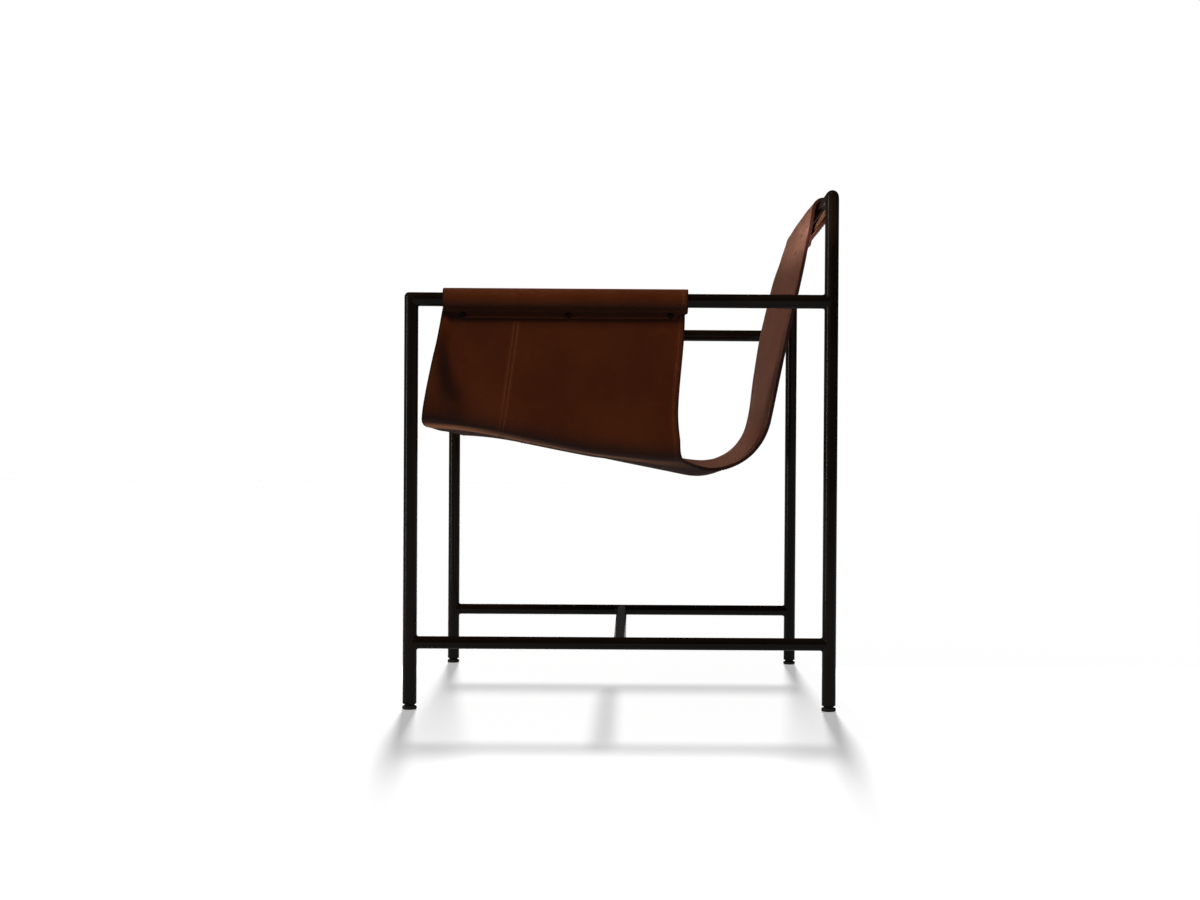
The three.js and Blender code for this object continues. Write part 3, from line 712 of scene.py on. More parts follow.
# How far the used hide stands in from its plain surface, as shares of HIDE_SET at these runs:
# along the back's left and right edges and along the middle
SET_RUNS = np.array([
    0, SEAT_LENGTH * 0.63, SEAT_LENGTH * 0.88, LOW_RUN, LOW_RUN + BEND_RADIUS * 0.3,
    LOW_RUN + BEND_RADIUS * 0.75, BEND_END_RUN, BEND_END_RUN + BACK_LENGTH * 0.08,
    BEND_END_RUN + BACK_LENGTH * 0.25, BEND_END_RUN + BACK_LENGTH * 0.47,
    BEND_END_RUN + BACK_LENGTH * 0.78, TOP_RUN - TUBE_RADIUS, TOP_RUN,
])
LEFT_SET = [0.04, 0.04, 0.17, 0.35, 0.2, 0.02, -0.04, -0.04, -0.02, 0, 0.02, 0, 0]
RIGHT_SET = [0.04, 0.04, 0.4, 0.98, 0.83, 0.46, 0.19, 0.17, 0.44, 0.63, 0.55, 0.16, 0]
MIDDLE_SET = [0.04, 0.04, 0.02, 0, 0.08, 0.07, 0.05, 0.03, 0.18, 0.28, 0.24, 0.06, 0]
SET_FADE = 34
# How finely, over how many steps and over which length the shares are rounded
EASE_STEP = 2
EASE_COUNT = 40
EASE_LENGTH = 15
EASE_MARGIN = 90.0
FINE_RUNS = np.arange(-EASE_MARGIN, TOP_RUN + EASE_MARGIN, EASE_STEP)


def eased(shares):
    """Shares read along the hide and rounded over the length of a hand, as a hide bends."""
    plain = np.interp(FINE_RUNS, SET_RUNS, shares)
    spread = np.arange(-EASE_COUNT, EASE_COUNT + 1) * EASE_STEP
    weight = np.exp(-((spread / EASE_LENGTH) ** 2) / 2)
    return np.convolve(np.pad(plain, EASE_COUNT, mode="edge"), weight / weight.sum(), mode="valid")


HIDE_SETS = [eased(shares) for shares in (LEFT_SET, RIGHT_SET, MIDDLE_SET)]


def set_at(across, run):
    left, right, middle = (np.interp(run, FINE_RUNS, shares) for shares in HIDE_SETS)
    place = across / BACK_SLEEVE_HALF
    bowl = (left + right) / 2 - middle
    droop = np.maximum(0, 1 - run / DROOP_LENGTH) ** 2 * SEAT_FRONT_DROOP
    depth = HIDE_SET * (1 - smooth_step(TOP_RUN - SET_FADE, TOP_RUN, run))
    return depth * (middle + (left - right) / 2 * np.clip(place, -1, 1) + bowl * place ** 2) - droop


def drop_from_top(run):
    y, z, _ = SPINE.at(run)
    return (BACK_TOP_Y - y) * math.sin(BACK_LEAN) + (BACK_TOP_Z - z) * math.cos(BACK_LEAN)


def set_in(across, run):
    """How far seat and back stand in from the plain surface, with the flap following the back."""
    flap = set_at(across, TOP_RUN - drop_from_top(run)) * smooth_step(BACK_FLAP_RUN, BACK_TAIL_RUN, run)
    return np.where(run <= TOP_RUN, set_at(across, run), np.where(run <= BACK_FLAP_RUN, 0, flap))


def arm_place(run):
    return ARM_SLEEVE_FRONT + (ARM_SLEEVE_BACK - ARM_SLEEVE_FRONT) * run / WING_RUN


def on_hide(girth, run):
    """The middle of the hide's thickness at arrays of girth and run, in millimetres."""
    girth, run = np.broadcast_arrays(np.asarray(girth, float), np.asarray(run, float))
    side = np.where(girth < 0, -1.0, 1.0)
    reach = np.abs(girth)
    y, z, heading = SPINE.at(run)
    facing = np.where(run > TOP_RUN, math.pi / 2 - BACK_LEAN, heading)
    in_y, in_z = -np.sin(facing), np.cos(facing)
    flat = set_in(girth, run)
    seat = np.stack([girth, y + in_y * flat, z + in_z * flat], -1)
    start = set_in(side * CORNER_START, run)
    slope = np.arctan2(start - set_in(side * (CORNER_START - SLOPE_STEP), run), SLOPE_STEP)
    radius = (WING_X - CORNER_START) / (1 - np.sin(slope))
    share = np.clip((reach - CORNER_START) / CORNER_GIRTH, 0, 1)
    angle = slope + (math.pi / 2 - slope) * share
    lift = start + radius * (np.cos(slope) - np.cos(angle))
    x = CORNER_START + radius * (np.sin(angle) - np.sin(slope))
    corner = np.stack([side * x, y + in_y * lift, z + in_z * lift], -1)
    rail = np.stack([side * WING_X, arm_place(run), np.full_like(run, ARM_HEIGHT)], -1)
    climb = np.clip((reach - WING_START) / WING_HEIGHT, 0, 1)[..., None]
    wing = corner * (1 - climb) + rail * climb
    wrap_x, wrap_z, _ = ARM_ROUTE.at(np.clip(reach - SLEEVE_START, 0, ARM_ROUTE.length))
    sleeve = np.stack([side * wrap_x, arm_place(run), wrap_z], -1)
    reach = reach[..., None]
    return np.where(reach <= CORNER_START, seat, np.where(reach <= SLEEVE_START, wing, sleeve))


def plain_normal(girth, run):
    """The way that the inner face of the hide looks, before any movement of use."""
    step = 0.3
    across = on_hide(girth + step, run) - on_hide(girth - step, run)
    lengthwise = on_hide(girth, run + step) - on_hide(girth, run - step)
    normal = np.cross(across, lengthwise)
    return normal / np.linalg.norm(normal, axis=-1, keepdims=True)


def into_tail(reach):
    """0 on the sleeve, rising to 1 at the end of its tail."""
    return np.maximum(0, (reach - SLEEVE_START - ARM_TAIL_START) / ARM_TAIL_LENGTH)


def front_run(girth):
    """The run at which the hide starts."""
    reach = np.abs(girth)
    angle = np.clip((reach - CORNER_START) / CORNER_GIRTH, 0, 1) * math.pi / 2
    height = (WING_X - CORNER_START) * (1 - np.cos(angle))
    share = np.clip(1 - height / FRONT_CORNER_HEIGHT, 0, 1)
    seat = SEAT_FRONT_SETBACK * (1 - np.sqrt(1 - share ** 2))
    hollow = FRONT_HOLLOW * (1 - smooth_step(*HOLLOW_FADE, reach))
    return seat + hollow + ARM_TAIL_FRONT_CUT * into_tail(reach)


def back_run(girth):
    """The run at which the wings end, and the window beside the back."""
    reach = np.abs(girth)
    deepest = WING_RUN - WING_CUT_SETBACK
    share = np.clip((WINDOW_EDGE - reach) / WINDOW_GIRTH, 0, 1)
    window = deepest + WINDOW_CORNER_LENGTH * (1 - np.sqrt(1 - share ** 2))
    under_sleeve = SLEEVE_NOTCH * smooth_step(*NOTCH_FADE, reach)
    rise = (WING_CUT_SETBACK - SLEEVE_NOTCH) * smooth_step(*RISE_FADE, reach)
    wing = deepest + rise + under_sleeve - ARM_TAIL_BACK_CUT * into_tail(reach)
    return np.where(reach <= WINDOW_EDGE, window, wing)


# The fold behind each wing's free edge, against its climb from the seat (0) to the sleeve (1)
FOLD_CLIMBS = [0, 0.16, 0.3, 0.56]
FOLD_SETBACKS = [48, 33, 22, 9]
FOLD_WIDTHS = [19, 15, 12, 8]
DRAWN_CLIMBS = [-0.12, 0, 0.16, 0.4, 0.58, 0.78]
DRAWN_SHARES = [0, 0.5, 1, 1, 0.7, 0]
FLARE = 11.5
LONG_WAVE, SHORT_WAVE = 0.45, 0.25
ARM_LOFT = 1.5
BACK_LOFT_GIRTHS = [-200, -60, 100, 200]
BACK_LOFTS = [4.6, 5.2, 4.2, 2.0]


def front_fold(girth):
    """The fold behind each wing's free edge: its distance from the edge, its width and how far
    it is drawn. It starts at the sleeve and moves back as it comes down."""
    climb = (np.abs(girth) - WING_START) / WING_HEIGHT
    setback, width = (np.interp(climb, FOLD_CLIMBS, sizes) for sizes in (FOLD_SETBACKS, FOLD_WIDTHS))
    return setback, width, np.interp(climb, DRAWN_CLIMBS, DRAWN_SHARES)


def hand_of_use(girth, run):
    """Small movements of a used hide off the plain surface, along its normal: the wings' free
    edges flare, slow waves, loft over the rails, and the lower back's edges curl behind it."""
    reach = np.abs(girth)
    setback, width, drawn = front_fold(girth)
    from_front = run - front_run(girth)
    flare = -FLARE * drawn * (1 - smooth_step(setback - width, setback + width, from_front))
    wave = LONG_WAVE * np.sin(girth / 71 + run / 97) * np.sin(run / 83 - 1.3)
    wave += SHORT_WAVE * np.sin(girth / 37 - run / 53 + 2)
    clear = (1 - smooth_step(*WAVE_SIDE_FADE, reach)) * (1 - smooth_step(*WAVE_TOP_FADE, run))
    turn = np.clip((reach - SLEEVE_START) / (LOOP_RADIUS * ARM_LOOP_TURN), 0, 1)
    arm_loft = ARM_LOFT * np.sin(math.pi * turn ** 0.85) ** 2
    back_loft = between(LOFT_RISE, LOFT_FALL, run) * np.interp(girth, BACK_LOFT_GIRTHS, BACK_LOFTS)
    back_loft = back_loft * (reach < SLEEVE_START)
    crown = EDGE_CURL * smooth_step(0, EDGE_CURL_WIDTH, BACK_SLEEVE_HALF - reach)
    crown = crown * between(CURL_RISE, CURL_FALL, run)
    return (flare + wave) * clear + arm_loft + back_loft + crown


def hide_face(girth, run, offset):
    """A point at an offset along the normal from the middle of the hide."""
    shift = hand_of_use(girth, run) + offset
    return on_hide(girth, run) + plain_normal(girth, run) * shift[..., None]


# Lines of thread and cut edges, as girth and run

WALK_STEP = 1.5
LINE_POINTS = 240
WING_POINTS, ROUND_POINTS, STRIP_POINTS = 24, 34, 60


def even_walk(line, pitch):
    """Resamples a line of girth and run at an even pitch, measured on the hide."""
    dense = []
    for first, last in zip(line[:-1], line[1:]):
        count = max(2, int(np.linalg.norm(last - first) / WALK_STEP))
        dense.append(first + (last - first) * np.linspace(0, 1, count, endpoint=False)[:, None])
    dense = np.concatenate(dense + [line[-1:]])
    lengths = np.linalg.norm(np.diff(on_hide(*dense.T), axis=0), axis=1)
    walked = np.concatenate([[0], np.cumsum(lengths)])
    stops = np.arange(pitch / 2, walked[-1], pitch)
    return np.stack([np.interp(stops, walked, values) for values in dense.T], -1)


def inset_line(line, inset, inward):
    """A line set in from an edge. inward is +1 or -1 for the side that the hide lies on."""
    tangent = np.gradient(line, axis=0)
    tangent /= np.linalg.norm(tangent, axis=1, keepdims=True)
    return line + inset * inward * np.stack([-tangent[:, 1], tangent[:, 0]], -1)


def window_edge(side, top_reach, end_run):
    """The cut edge from the arm sleeve down the wing, round the window and up the back."""
    wing = np.linspace(top_reach, WINDOW_EDGE, WING_POINTS)
    round_window = 1 - np.cos(np.linspace(math.pi / 2, 0, ROUND_POINTS)[1:])
    reach = np.append(wing, BACK_SLEEVE_HALF + WINDOW_GIRTH * round_window)
    run = back_run(reach)
    up_back = np.linspace(run[-1], end_run, STRIP_POINTS)[1:]
    reach = np.append(reach, np.full(len(up_back), BACK_SLEEVE_HALF))
    return np.stack([side * reach, np.append(run, up_back)], -1)


def front_edge():
    girths = np.linspace(-GIRTH_END, GIRTH_END, LINE_POINTS)
    return np.stack([girths, front_run(girths)], -1)


def seam_line(offset, reach):
    girths = np.linspace(-reach, reach, LINE_POINTS)
    return np.stack([girths, np.full_like(girths, SEAM_RUN + offset)], -1)


def line_gap(girth, run, lines):
    """Distance from each point to the nearest of some lines, in girth and run."""
    points = np.stack([girth.ravel(), run.ravel()], -1)
    best = np.full(len(points), 1e6)
    for line in lines:
        for first, last in zip(line[:-1], line[1:]):
            along = last - first
            length = float(np.dot(along, along)) or 1e-9
            share = np.clip((points - first) @ along / length, 0, 1)
            away = points - first - share[:, None] * along
            best = np.minimum(best, np.einsum("ij,ij->i", away, away))
    return np.sqrt(best).reshape(girth.shape)


BELOW_SLEEVE = SLEEVE_START - 6
UNDER_TAIL = SLEEVE_START - 34
ON_SLEEVE = SLEEVE_START + LOOP_RADIUS * ARM_LOOP_TURN * 0.9
EDGES = [front_edge()] + [window_edge(side, GIRTH_END, SPINE.length) for side in (1, -1)]
WINDOW_STITCHES = [
    inset_line(window_edge(side, GIRTH_END - 2, SPINE.length - 4), STITCH_INSET, side) for side in (1, -1)
]
THREAD_LINES = [seam_line(way * SEAM_STITCH_OFFSET, BELOW_SLEEVE) for way in (1, -1)] + WINDOW_STITCHES


# The two hides

FRONT_ROWS, MAIN_ROWS, WINDOW_COLUMNS = 28, 62, 26
# A vertex is on the outer face when its normal times the inner face's is below this
OUTER_LIMIT = -0.2
FOLD_SHADE_SPREAD = 1.2
# Where the painted pale reflection under the wing starts, as a share of the corner, and how strong
# it is, against millimetres from the front edge
PALE_RUNS = [0, 25, 60, 100, 250, 400, 520]
PALE_STARTS = [0.66, 0.7, 0.75, 0.8, 0.88, 0.94, 0.97]
PALE_STRENGTHS = [1, 1, 1, 0.9, 0.6, 0.1, 0]
PALE_BEFORE, PALE_AFTER = 0.16, 0.06
PALE_FADE = (1.3, 2.4)
# Over which share of the corner the underside turns dull and darker with painted shade
UNDERSIDE_STARTS = (0.7, 1.1)
# Over which runs the painted light on the back sleeve's lining comes in
LINING_STARTS = (TOP_RUN + 6, TOP_RUN + 16)
# Where the painted shade at the seat's bend lies, and how far it spreads
INNER_SHADE_RUN = LOW_RUN + 26
INNER_SHADE_SPREAD = 78
# How broad the painted shade on the back's rim is, against millimetres up from the lowest place
RIM_RUNS = [0, 60, 160, 260, 420]
RIM_WIDTHS = [60, 70, 60, 30, 12]
RIM_STARTS = (LOW_RUN - 20, LOW_RUN + 40)


def mark_shades(mesh):
    """Writes where light and shade are painted on the leather, and where it is dull. Outside: painted
    shade in the fold behind the wing's free edge, a painted pale reflection where each wing turns
    under the seat, painted light on the sleeve's lining and painted shade on the dull underside.
    Inside: painted shade at the bend where one sits and on the rim of the back."""
    girth, run = read_layer(mesh, "girth"), read_layer(mesh, "run")
    facing = np.zeros(len(mesh.vertices) * 3, np.float32)
    mesh.vertices.foreach_get("normal", facing)
    outside = np.einsum("ij,ij->i", facing.reshape(-1, 3), plain_normal(girth, run)) < OUTER_LIMIT
    from_front = run - front_run(girth)
    setback, width, drawn = front_fold(girth)
    # Painted shade in the fold behind the wing's free edge
    shade = np.exp(-(((from_front - setback) / (FOLD_SHADE_SPREAD * width)) ** 2)) * drawn
    turned_under = 1 - (np.abs(girth) - CORNER_START) / CORNER_GIRTH
    # A painted pale reflection where each wing turns under the seat
    start = np.interp(from_front, PALE_RUNS, PALE_STARTS)
    pale_light = between((start - PALE_BEFORE, start + PALE_AFTER), PALE_FADE, turned_under)
    pale_light = pale_light * np.interp(from_front, PALE_RUNS, PALE_STRENGTHS)
    # and painted light on the lining inside the back sleeve
    pale_light = np.maximum(pale_light, smooth_step(*LINING_STARTS, run))
    # The underside is dull, and darker with painted shade
    dull = smooth_step(*UNDERSIDE_STARTS, turned_under)
    # Painted shade at the bend where one sits
    inner_shade = np.exp(-(((run - INNER_SHADE_RUN) / INNER_SHADE_SPREAD) ** 2)) * (np.abs(girth) < WING_START)
    # Painted shade on the rim of the back
    rim_width = np.interp(run - LOW_RUN, RIM_RUNS, RIM_WIDTHS)
    rim = np.exp(-(((BACK_SLEEVE_HALF - np.abs(girth)) / rim_width) ** 2)) * smooth_step(*RIM_STARTS, run)
    write_layer(mesh, "fold_shade", shade * outside)
    write_layer(mesh, "pale_reflection_and_lining_light", pale_light * outside)
    write_layer(mesh, "dull_shaded_underside", dull * outside)
    write_layer(mesh, "inner_shade", np.maximum(inner_shade, rim) * ~outside)


def hide_grid(name, columns, runs, keep, node):
    """A thick sheet of hide over a grid of girth and run, with painted and rounded edges. columns
    holds each column's girth, and keep says which points of the grid are hide."""
    girths = np.broadcast_to(columns, runs.shape).copy()
    tail = smooth_step(BACK_FLAP_RUN, BACK_TAIL_RUN, runs)
    points = hide_face(girths, runs, -BACK_TAIL_SKIVE / 2 * tail)
    number = np.full(girths.shape, -1)
    number[keep] = np.arange(int(keep.sum()))
    corners = np.stack([number[:-1, :-1], number[:-1, 1:], number[1:, 1:], number[1:, :-1]], -1)
    faces = corners[corners.min(-1) >= 0].tolist()
    piece = mesh_piece(name, points[keep], faces, [LEATHER, EDGE_PAINT])
    write_layer(piece.data, "edge_distance", line_gap(girths, runs, EDGES)[keep])
    write_layer(piece.data, "line_distance", line_gap(girths, runs, THREAD_LINES)[keep])
    write_layer(piece.data, "girth", girths[keep])
    write_layer(piece.data, "run", runs[keep])
    thin = piece.vertex_groups.new(name="thickness")
    for index, weight in enumerate(1 - BACK_TAIL_SKIVE / HIDE_THICKNESS * tail[keep]):
        thin.add([index], float(weight), "REPLACE")
    set_values(piece.modifiers.new("thickness", "SOLIDIFY"), thickness=HIDE_THICKNESS * MM, offset=0,
               use_even_offset=True, vertex_group="thickness", material_offset_rim=1)
    set_values(piece.modifiers.new("rounding", "BEVEL"), width=EDGE_ROUNDING * MM, segments=3,
               limit_method="ANGLE", angle_limit=math.radians(55))
    settle(piece)
    smooth(piece.data)
    mark_shades(piece.data)
    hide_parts(node)
    return piece


def steps(first, *stretches):
    """Places from first on, in even steps along stretches of (end, count)."""
    places = []
    for end, count in stretches:
        places += list(first + (end - first) * np.arange(1, count + 1) / count)
        first = end
    return places


def all_columns():
    """The girths of the grid's columns, close together where the hide bends."""
    round_window = 1 - np.cos(np.linspace(0, math.pi / 2, WINDOW_COLUMNS + 1)[1:])
    loop_end = SLEEVE_START + LOOP_RADIUS * ARM_LOOP_TURN
    half = steps(0, (BACK_SLEEVE_HALF, 25)) + list(BACK_SLEEVE_HALF + WINDOW_GIRTH * round_window)
    half += steps(WINDOW_EDGE, (SLEEVE_START - 20, 18), (SLEEVE_START, 5), (loop_end, 34),
                  (loop_end + ARM_FLAP_LENGTH, 3), (SLEEVE_START + ARM_TAIL_START, 5), (GIRTH_END, 4))
    return np.array([-girth for girth in reversed(half)] + [0.0] + half)


def make_front_hide():
    columns = all_columns()
    start = front_run(columns)[None, :]
    runs = start + (SEAM_RUN - SEAM_GAP / 2 - start) * np.linspace(0, 1, FRONT_ROWS)[:, None]
    return hide_grid("front_hide_skin", columns, runs, np.ones(runs.shape, bool), "front_hide")


def make_main_hide():
    columns = all_columns()
    start = SEAM_RUN + SEAM_GAP / 2
    wide = start + (back_run(columns)[None, :] - start) * np.linspace(0, 1, MAIN_ROWS)[:, None]
    strip = np.array(steps(
        float(back_run(BACK_SLEEVE_HALF)), (BEND_END_RUN, 20), (TOP_RUN, 48), (BACK_FLAP_RUN, 32),
        (BACK_FLAP_RUN + BACK_FLAP_LENGTH, 7), (BACK_TAIL_RUN, 4), (SPINE.length, 4),
    ))
    narrow = np.broadcast_to(strip[:, None], (len(strip), len(columns)))
    runs = np.concatenate([wide, narrow])
    keep = np.ones(runs.shape, bool)
    keep[len(wide):] = (np.abs(columns) <= BACK_SLEEVE_HALF + GAP)[None, :]
    return hide_grid("main_hide_skin", columns, runs, keep, "main_hide")


front_hide = make_front_hide()
main_hide = make_main_hide()


# Thread: each stitch is a short piece of cord that dips into its holes

STITCH_SIDES = 6
STITCH_FLATNESS = 0.8
# A stitch's rings: how far ahead of its middle, their radius and their rise above the leather
STITCH_RINGS = [
    (-1.95, 0.2, -0.89), (-1.45, 0.4, -0.24), (-0.6, 0.46, 0.06),
    (0.6, 0.46, 0.06), (1.45, 0.4, -0.24), (1.95, 0.2, -0.89),
]


def stitches(name, rows):
    """Stitches along rows of (line, face), where face is +1 for the hide's inner face and -1 for
    its outer face."""
    points, faces = [], []
    turns = np.linspace(0, 2 * math.pi, STITCH_SIDES, endpoint=False)
    stitch_faces = tube_faces(len(STITCH_RINGS), STITCH_SIDES)
    for line, face in rows:
        spots = even_walk(line, STITCH_PITCH)
        ahead = np.concatenate([spots[1:], spots[-1:]])
        behind = np.concatenate([spots[:1], spots[:-1]])
        centre = hide_face(*spots.T, face * HIDE_HALF)
        normal = plain_normal(*spots.T) * face
        direction = on_hide(*ahead.T) - on_hide(*behind.T)
        direction -= normal * np.einsum("ij,ij->i", direction, normal)[:, None]
        direction /= np.linalg.norm(direction, axis=1, keepdims=True)
        side = np.cross(direction, normal)
        for place, along, out, across in zip(centre, direction, normal, side):
            faces += [tuple(corner + len(points) for corner in corners) for corners in stitch_faces]
            for ahead_by, radius, rise in STITCH_RINGS:
                middle = place + along * ahead_by + out * rise
                for turn in turns:
                    spoke = out * math.cos(turn) * STITCH_FLATNESS + across * math.sin(turn)
                    points.append(middle + radius * spoke)
    piece = mesh_piece(name, points, faces, [THREAD])
    return piece


def seam_rows(offset):
    return [(seam_line(offset, BELOW_SLEEVE), 1), (seam_line(offset, UNDER_TAIL), -1)]


def trim(line, reach, run):
    return line[(np.abs(line[:, 0]) <= reach) & (line[:, 1] <= run)]


front_thread = stitches("thread_front", seam_rows(-SEAM_STITCH_OFFSET))
main_rows = seam_rows(SEAM_STITCH_OFFSET)
for window_stitch in WINDOW_STITCHES:
    main_rows.append((trim(window_stitch, ON_SLEEVE, BACK_TAIL_RUN - 4), 1))
    main_rows.append((trim(window_stitch, UNDER_TAIL, TOP_RUN - 62), -1))
main_thread = stitches("thread_main", main_rows)


# Sleeve screws

SCREW_SIDES = 28
BACK_HEAD_HEIGHT = 0.9


def screw(name, seat, facing, stack, head, rise):
    """A post with a low inner head, and an outer cap with a dimple, through both layers."""
    post_profile = [
        (0.3, -0.93 * rise), (1.2, -rise), (2.6, -0.94 * rise), (3.5, -0.7 * rise - 0.05),
        (SCREW_HEAD_RADIUS, -0.2 * rise - 0.2), (SCREW_HEAD_RADIUS, -0.3), (2.2, -0.3),
        (2.2, stack + 0.8), (0.3, stack + 0.8),
    ]
    post = turned(f"post_{name}", post_profile, seat, facing, head, sides=SCREW_SIDES)
    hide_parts(f"screw_post_{name}")
    base = stack + GAP
    cap_profile = [
        (0.3, stack + 0.95), (2.35, stack + 0.95), (2.35, base), (SCREW_HEAD_RADIUS, base),
        (SCREW_HEAD_RADIUS, base + 0.45), (3.7, base + 1.05), (3.0, base + 1.45), (2.2, base + 1.6),
        (1.5, base + 1.5), (0.9, base + 1.25), (0.3, base + 1.15),
    ]
    cap = turned(f"cap_{name}", cap_profile, seat, facing, BRASS, sides=SCREW_SIDES)
    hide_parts(f"screw_cap_{name}")


def arm_screws():
    height = float(ARM_ROUTE.at(ARM_TAIL_START)[1]) - SCREW_HEAD_RADIUS
    stack = 2 * HIDE_THICKNESS + GAP
    for name, sign in SIDES.items():
        for number, place in enumerate(ARM_SCREW_PLACES, 1):
            seat = unit(sign * (WING_X - HIDE_HALF), place, height)
            screw(f"arm_{name}_{number}", seat, unit(sign, 0, 0), stack, BRASS, SCREW_HEAD_HEIGHT)


def back_screws():
    run = np.array(TOP_RUN - float(drop_from_top(BACK_TAIL_RUN + SCREW_HEAD_RADIUS)))
    reach = BACK_SLEEVE_HALF - BACK_SCREW_INSET
    stack = 2 * HIDE_THICKNESS + GAP - BACK_TAIL_SKIVE
    for number, place in enumerate(np.linspace(-reach, reach, BACK_SCREW_COUNT), 1):
        facing = -plain_normal(place, run)
        seat = on_hide(place, run) - facing * HIDE_HALF
        screw(f"back_{number}", seat, facing, stack, BROWN_LACQUER, BACK_HEAD_HEIGHT)


arm_screws()
back_screws()


# Camera: level with the sling, square to the chair's left side

CAMERA_PLACE = (2.7267, 0.01384, 0.34078)
CAMERA_SWING = math.radians(90 - 0.275)
CAMERA_TILT = math.radians(90 - 0.521)
CAMERA_ROLL = 0.0061


def add_camera():
    camera = add_object("camera", bpy.data.cameras.new("camera"))
    set_values(camera.data, lens=50.53, sensor_width=36, shift_x=-0.0318, shift_y=0.0327, clip_end=100)
    turn = Matrix.Translation(CAMERA_PLACE)
    for angle, axis in ((CAMERA_SWING, "Z"), (CAMERA_TILT, "X"), (CAMERA_ROLL, "Z")):
        turn = turn @ Matrix.Rotation(angle, 4, axis)
    camera.matrix_world = turn
    bpy.context.scene.camera = camera


# Studio: a white floor and surround. Two low lamps behind the chair throw its shadows forward,
# one on each part of the floor, and the rear one lights the chair too. The rest light only it.

FLOOR_WASH = 0.45
FAR_WASH = 0.62
# Over which metres, forward of the chair or across, the floor is washed out
FAR_FADE = (0.54, 0.98)
BETWEEN_LEGS, KEPT_BETWEEN = (0.15, 0.24), 0.4
BESIDE_CHAIR, BESIDE_FROM = (0.335, 0.37), (-0.27, -0.2)
# The wedge of floor behind the chair that lights it most
WEDGE_LEAN = 1.6
WEDGE_FADE = (0.2, 1.0)
BOUNCE_LOW, BOUNCE_HIGH = 0.2, 0.62
FLOOR_SPLIT = -0.12
FLOOR_REACH = 60.0
WHITE = (1, 1, 1, 1)
FLOOR_COLOUR = (0.9, 0.9, 0.9, 1)
SURROUND_LEVEL = 0.012
BEHIND_FADE, BEHIND_LEVEL = (0.5, 0.98), 0.035
BESIDE_FADE, BESIDE_LEVEL = (0.1, 0.7), 0.1
LOW_LAMP_AWAY = 10.0
LOW_LAMP_RISE = math.radians(15.1)
LOW_LAMP_POWER = 6.9
LOW_LAMP_WIDTH = 5.6
FRONT_SWING, REAR_SWING = math.radians(4.3), math.radians(-3.0)
# Name, kind, place, target, power, size in metres or degrees, and whether it shows in reflections
LAMPS = [
    ("side_box", "AREA", (2.6, -1.3, 2.9), (0.1, 0, 0.45), 158, (1.0, 1.0), False),
    ("rear_box", "AREA", (1.3, 2.7, 0.9), (0, 0.3, 0.6), 34, (0.9, 1.2), False),
    ("top_box", "AREA", (-0.4, -1.2, 2.8), (0, 0.1, 0.4), 48, (1.6, 1.6), False),
    ("edge_box", "AREA", (1.2, -2.85, 0.9), (0, 0, 0.45), 8, (0.16, 2.2), True),
    ("sleeve_spot", "SPOT", (2.4, 0.02, 0.7), (0.12, 0.29, 0.71), 1150, 2.2, False),
]


def make_floor_white():
    """White that is washed out before and beside the chair, and sends a soft light up to it."""
    material = bpy.data.materials.new("white floor")
    material.use_nodes = True
    f = Finish(material.node_tree)
    f.tree.nodes.clear()
    place = f.node("ShaderNodeNewGeometry").outputs["Position"]
    parts = f.node("ShaderNodeSeparateXYZ", place).outputs
    forward, across = parts["X"], f.math("ABSOLUTE", parts["Y"])
    clear = f.scaled(f.rest_of(f.band(across, *BETWEEN_LEGS)), KEPT_BETWEEN, 1.0)
    fade = f.times(f.band(forward, *FAR_FADE), clear)
    outside = f.times(f.band(across, *BESIDE_CHAIR), f.band(forward, *BESIDE_FROM))
    washed = f.scaled(f.math("MAXIMUM", fade, outside), FLOOR_WASH, FLOOR_WASH + FAR_WASH)
    wedge = f.math("SUBTRACT", f.times(forward, -1.0), f.times(across, WEDGE_LEAN))
    level = f.scaled(f.band(wedge, *WEDGE_FADE), BOUNCE_LOW, BOUNCE_HIGH)
    spread = f.node("ShaderNodeBsdfDiffuse", Color=FLOOR_COLOUR).outputs[0]
    wash = f.node("ShaderNodeEmission", Color=WHITE, Strength=washed).outputs[0]
    bounce = f.node("ShaderNodeEmission", Color=WHITE, Strength=level).outputs[0]
    shown = f.node("ShaderNodeAddShader", spread, wash).outputs[0]
    choice = f.node("ShaderNodeMixShader", f.in_view(), bounce, shown).outputs[0]
    f.node("ShaderNodeOutputMaterial", Surface=choice)
    return material


def add_floor(name, low, high, material):
    """One part of the floor, from low to high across, so that each part has its own low lamp."""
    mesh = bpy.data.meshes.new(name)
    corners = [(-FLOOR_REACH, low, 0), (FLOOR_REACH, low, 0), (FLOOR_REACH, high, 0), (-FLOOR_REACH, high, 0)]
    mesh.from_pydata(corners, [], [(0, 1, 2, 3)])
    mesh.materials.append(material)
    part = add_object(name, mesh)
    return part


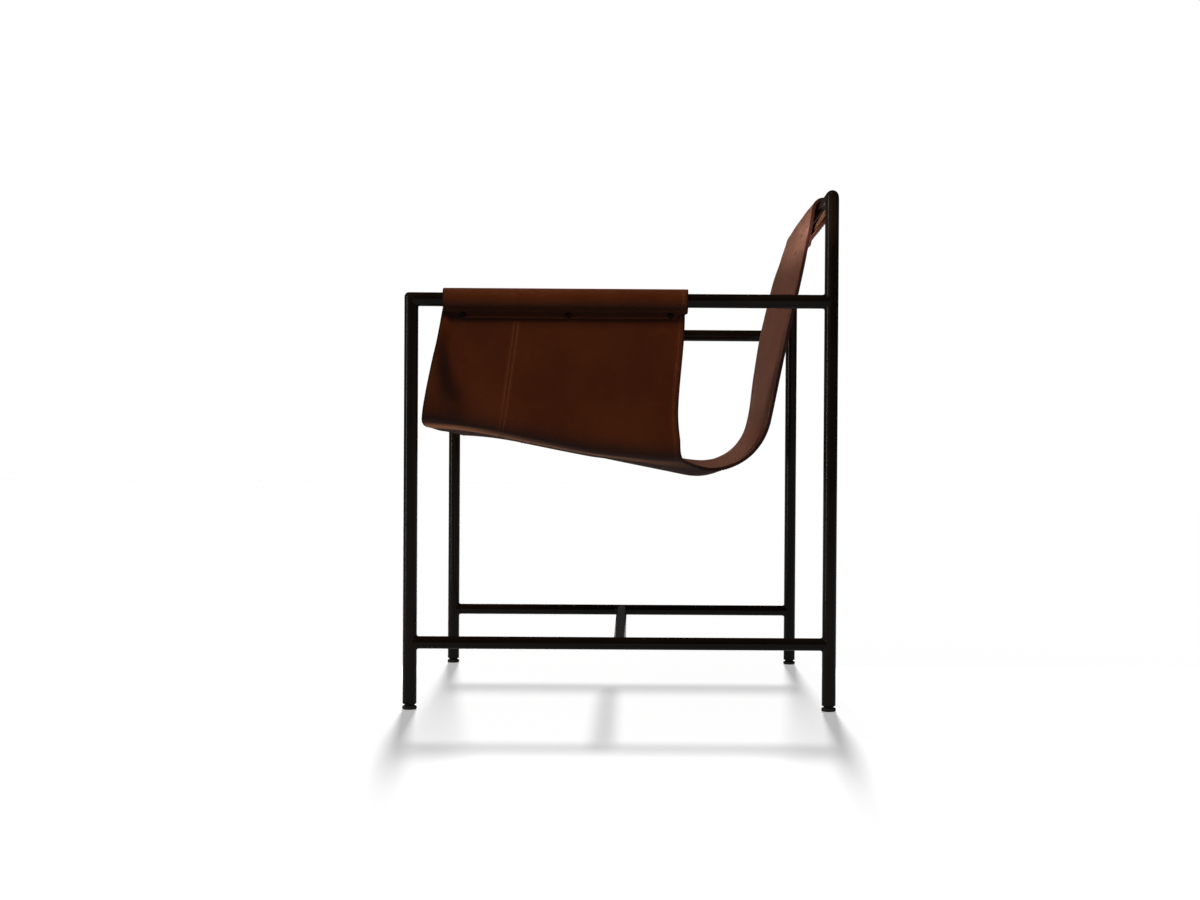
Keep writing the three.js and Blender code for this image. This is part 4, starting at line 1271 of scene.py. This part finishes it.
def add_surround():
    """White to the camera, and nearly dark to the chair, with a little light behind and beside."""
    world = bpy.data.worlds.new("studio")
    bpy.context.scene.world = world
    world.use_nodes = True
    f = Finish(world.node_tree)
    f.tree.nodes.clear()
    parts = f.node("ShaderNodeSeparateXYZ", f.node("ShaderNodeTexCoord").outputs["Generated"]).outputs
    behind, beside = (f.times(parts[axis], -1.0) for axis in "XY")
    behind = f.scaled(f.band(behind, *BEHIND_FADE), SURROUND_LEVEL, BEHIND_LEVEL)
    beside = f.scaled(f.band(beside, *BESIDE_FADE), SURROUND_LEVEL, BESIDE_LEVEL)
    level = f.blend(f.in_view(), f.math("MAXIMUM", behind, beside), 1.0)
    background = f.node("ShaderNodeBackground", Color=WHITE, Strength=level).outputs[0]
    f.node("ShaderNodeOutputWorld", Surface=background)


def keep_light(lamp, state, *stage):
    """Light linking: the lamp leaves these out, or lights only these."""
    parts = bpy.data.collections.new(f"{lamp.name}_parts")
    for number, part in enumerate(stage):
        parts.objects.link(part)
        parts.collection_objects[number].light_linking.link_state = state
    lamp.light_linking.receiver_collection = parts


def add_lamp(name, kind, place, target, power, size, shiny):
    data = bpy.data.lights.new(name, kind)
    data.energy = power
    if kind == "AREA":
        set_values(data, shape="RECTANGLE", size=size[0], size_y=size[1])
    elif kind == "SPOT":
        set_values(data, spot_size=math.radians(size), spot_blend=0.7, shadow_soft_size=0.03)
    else:
        data.angle = math.radians(size)
    lamp = add_object(name, data)
    aim = (Vector(target) - Vector(place)).to_track_quat("-Z", "Y")
    lamp.matrix_world = Matrix.Translation(place) @ aim.to_matrix().to_4x4()
    lamp.visible_glossy = shiny
    return lamp


def add_low_lamp(name, swing):
    """A low lamp behind the chair, swung a little so that its shadows lean."""
    behind, beside = -math.cos(swing), -math.sin(swing)
    place = tuple(LOW_LAMP_AWAY * part for part in (behind, beside, math.tan(LOW_LAMP_RISE)))
    return add_lamp(name, "SUN", place, (0, 0, 0), LOW_LAMP_POWER, LOW_LAMP_WIDTH, False)


add_camera()
floor_white = make_floor_white()
front_floor = add_floor("front_floor", -FLOOR_REACH, FLOOR_SPLIT, floor_white)
rear_floor = add_floor("rear_floor", FLOOR_SPLIT, FLOOR_REACH, floor_white)
add_surround()
keep_light(add_low_lamp("low_lamp_front", FRONT_SWING), "INCLUDE", front_floor)
keep_light(add_low_lamp("low_lamp_rear", REAR_SWING), "EXCLUDE", front_floor)
for lamp in LAMPS:
    keep_light(add_lamp(*lamp), "EXCLUDE", front_floor, rear_floor)
bpy.context.scene.view_settings.view_transform = "Standard"
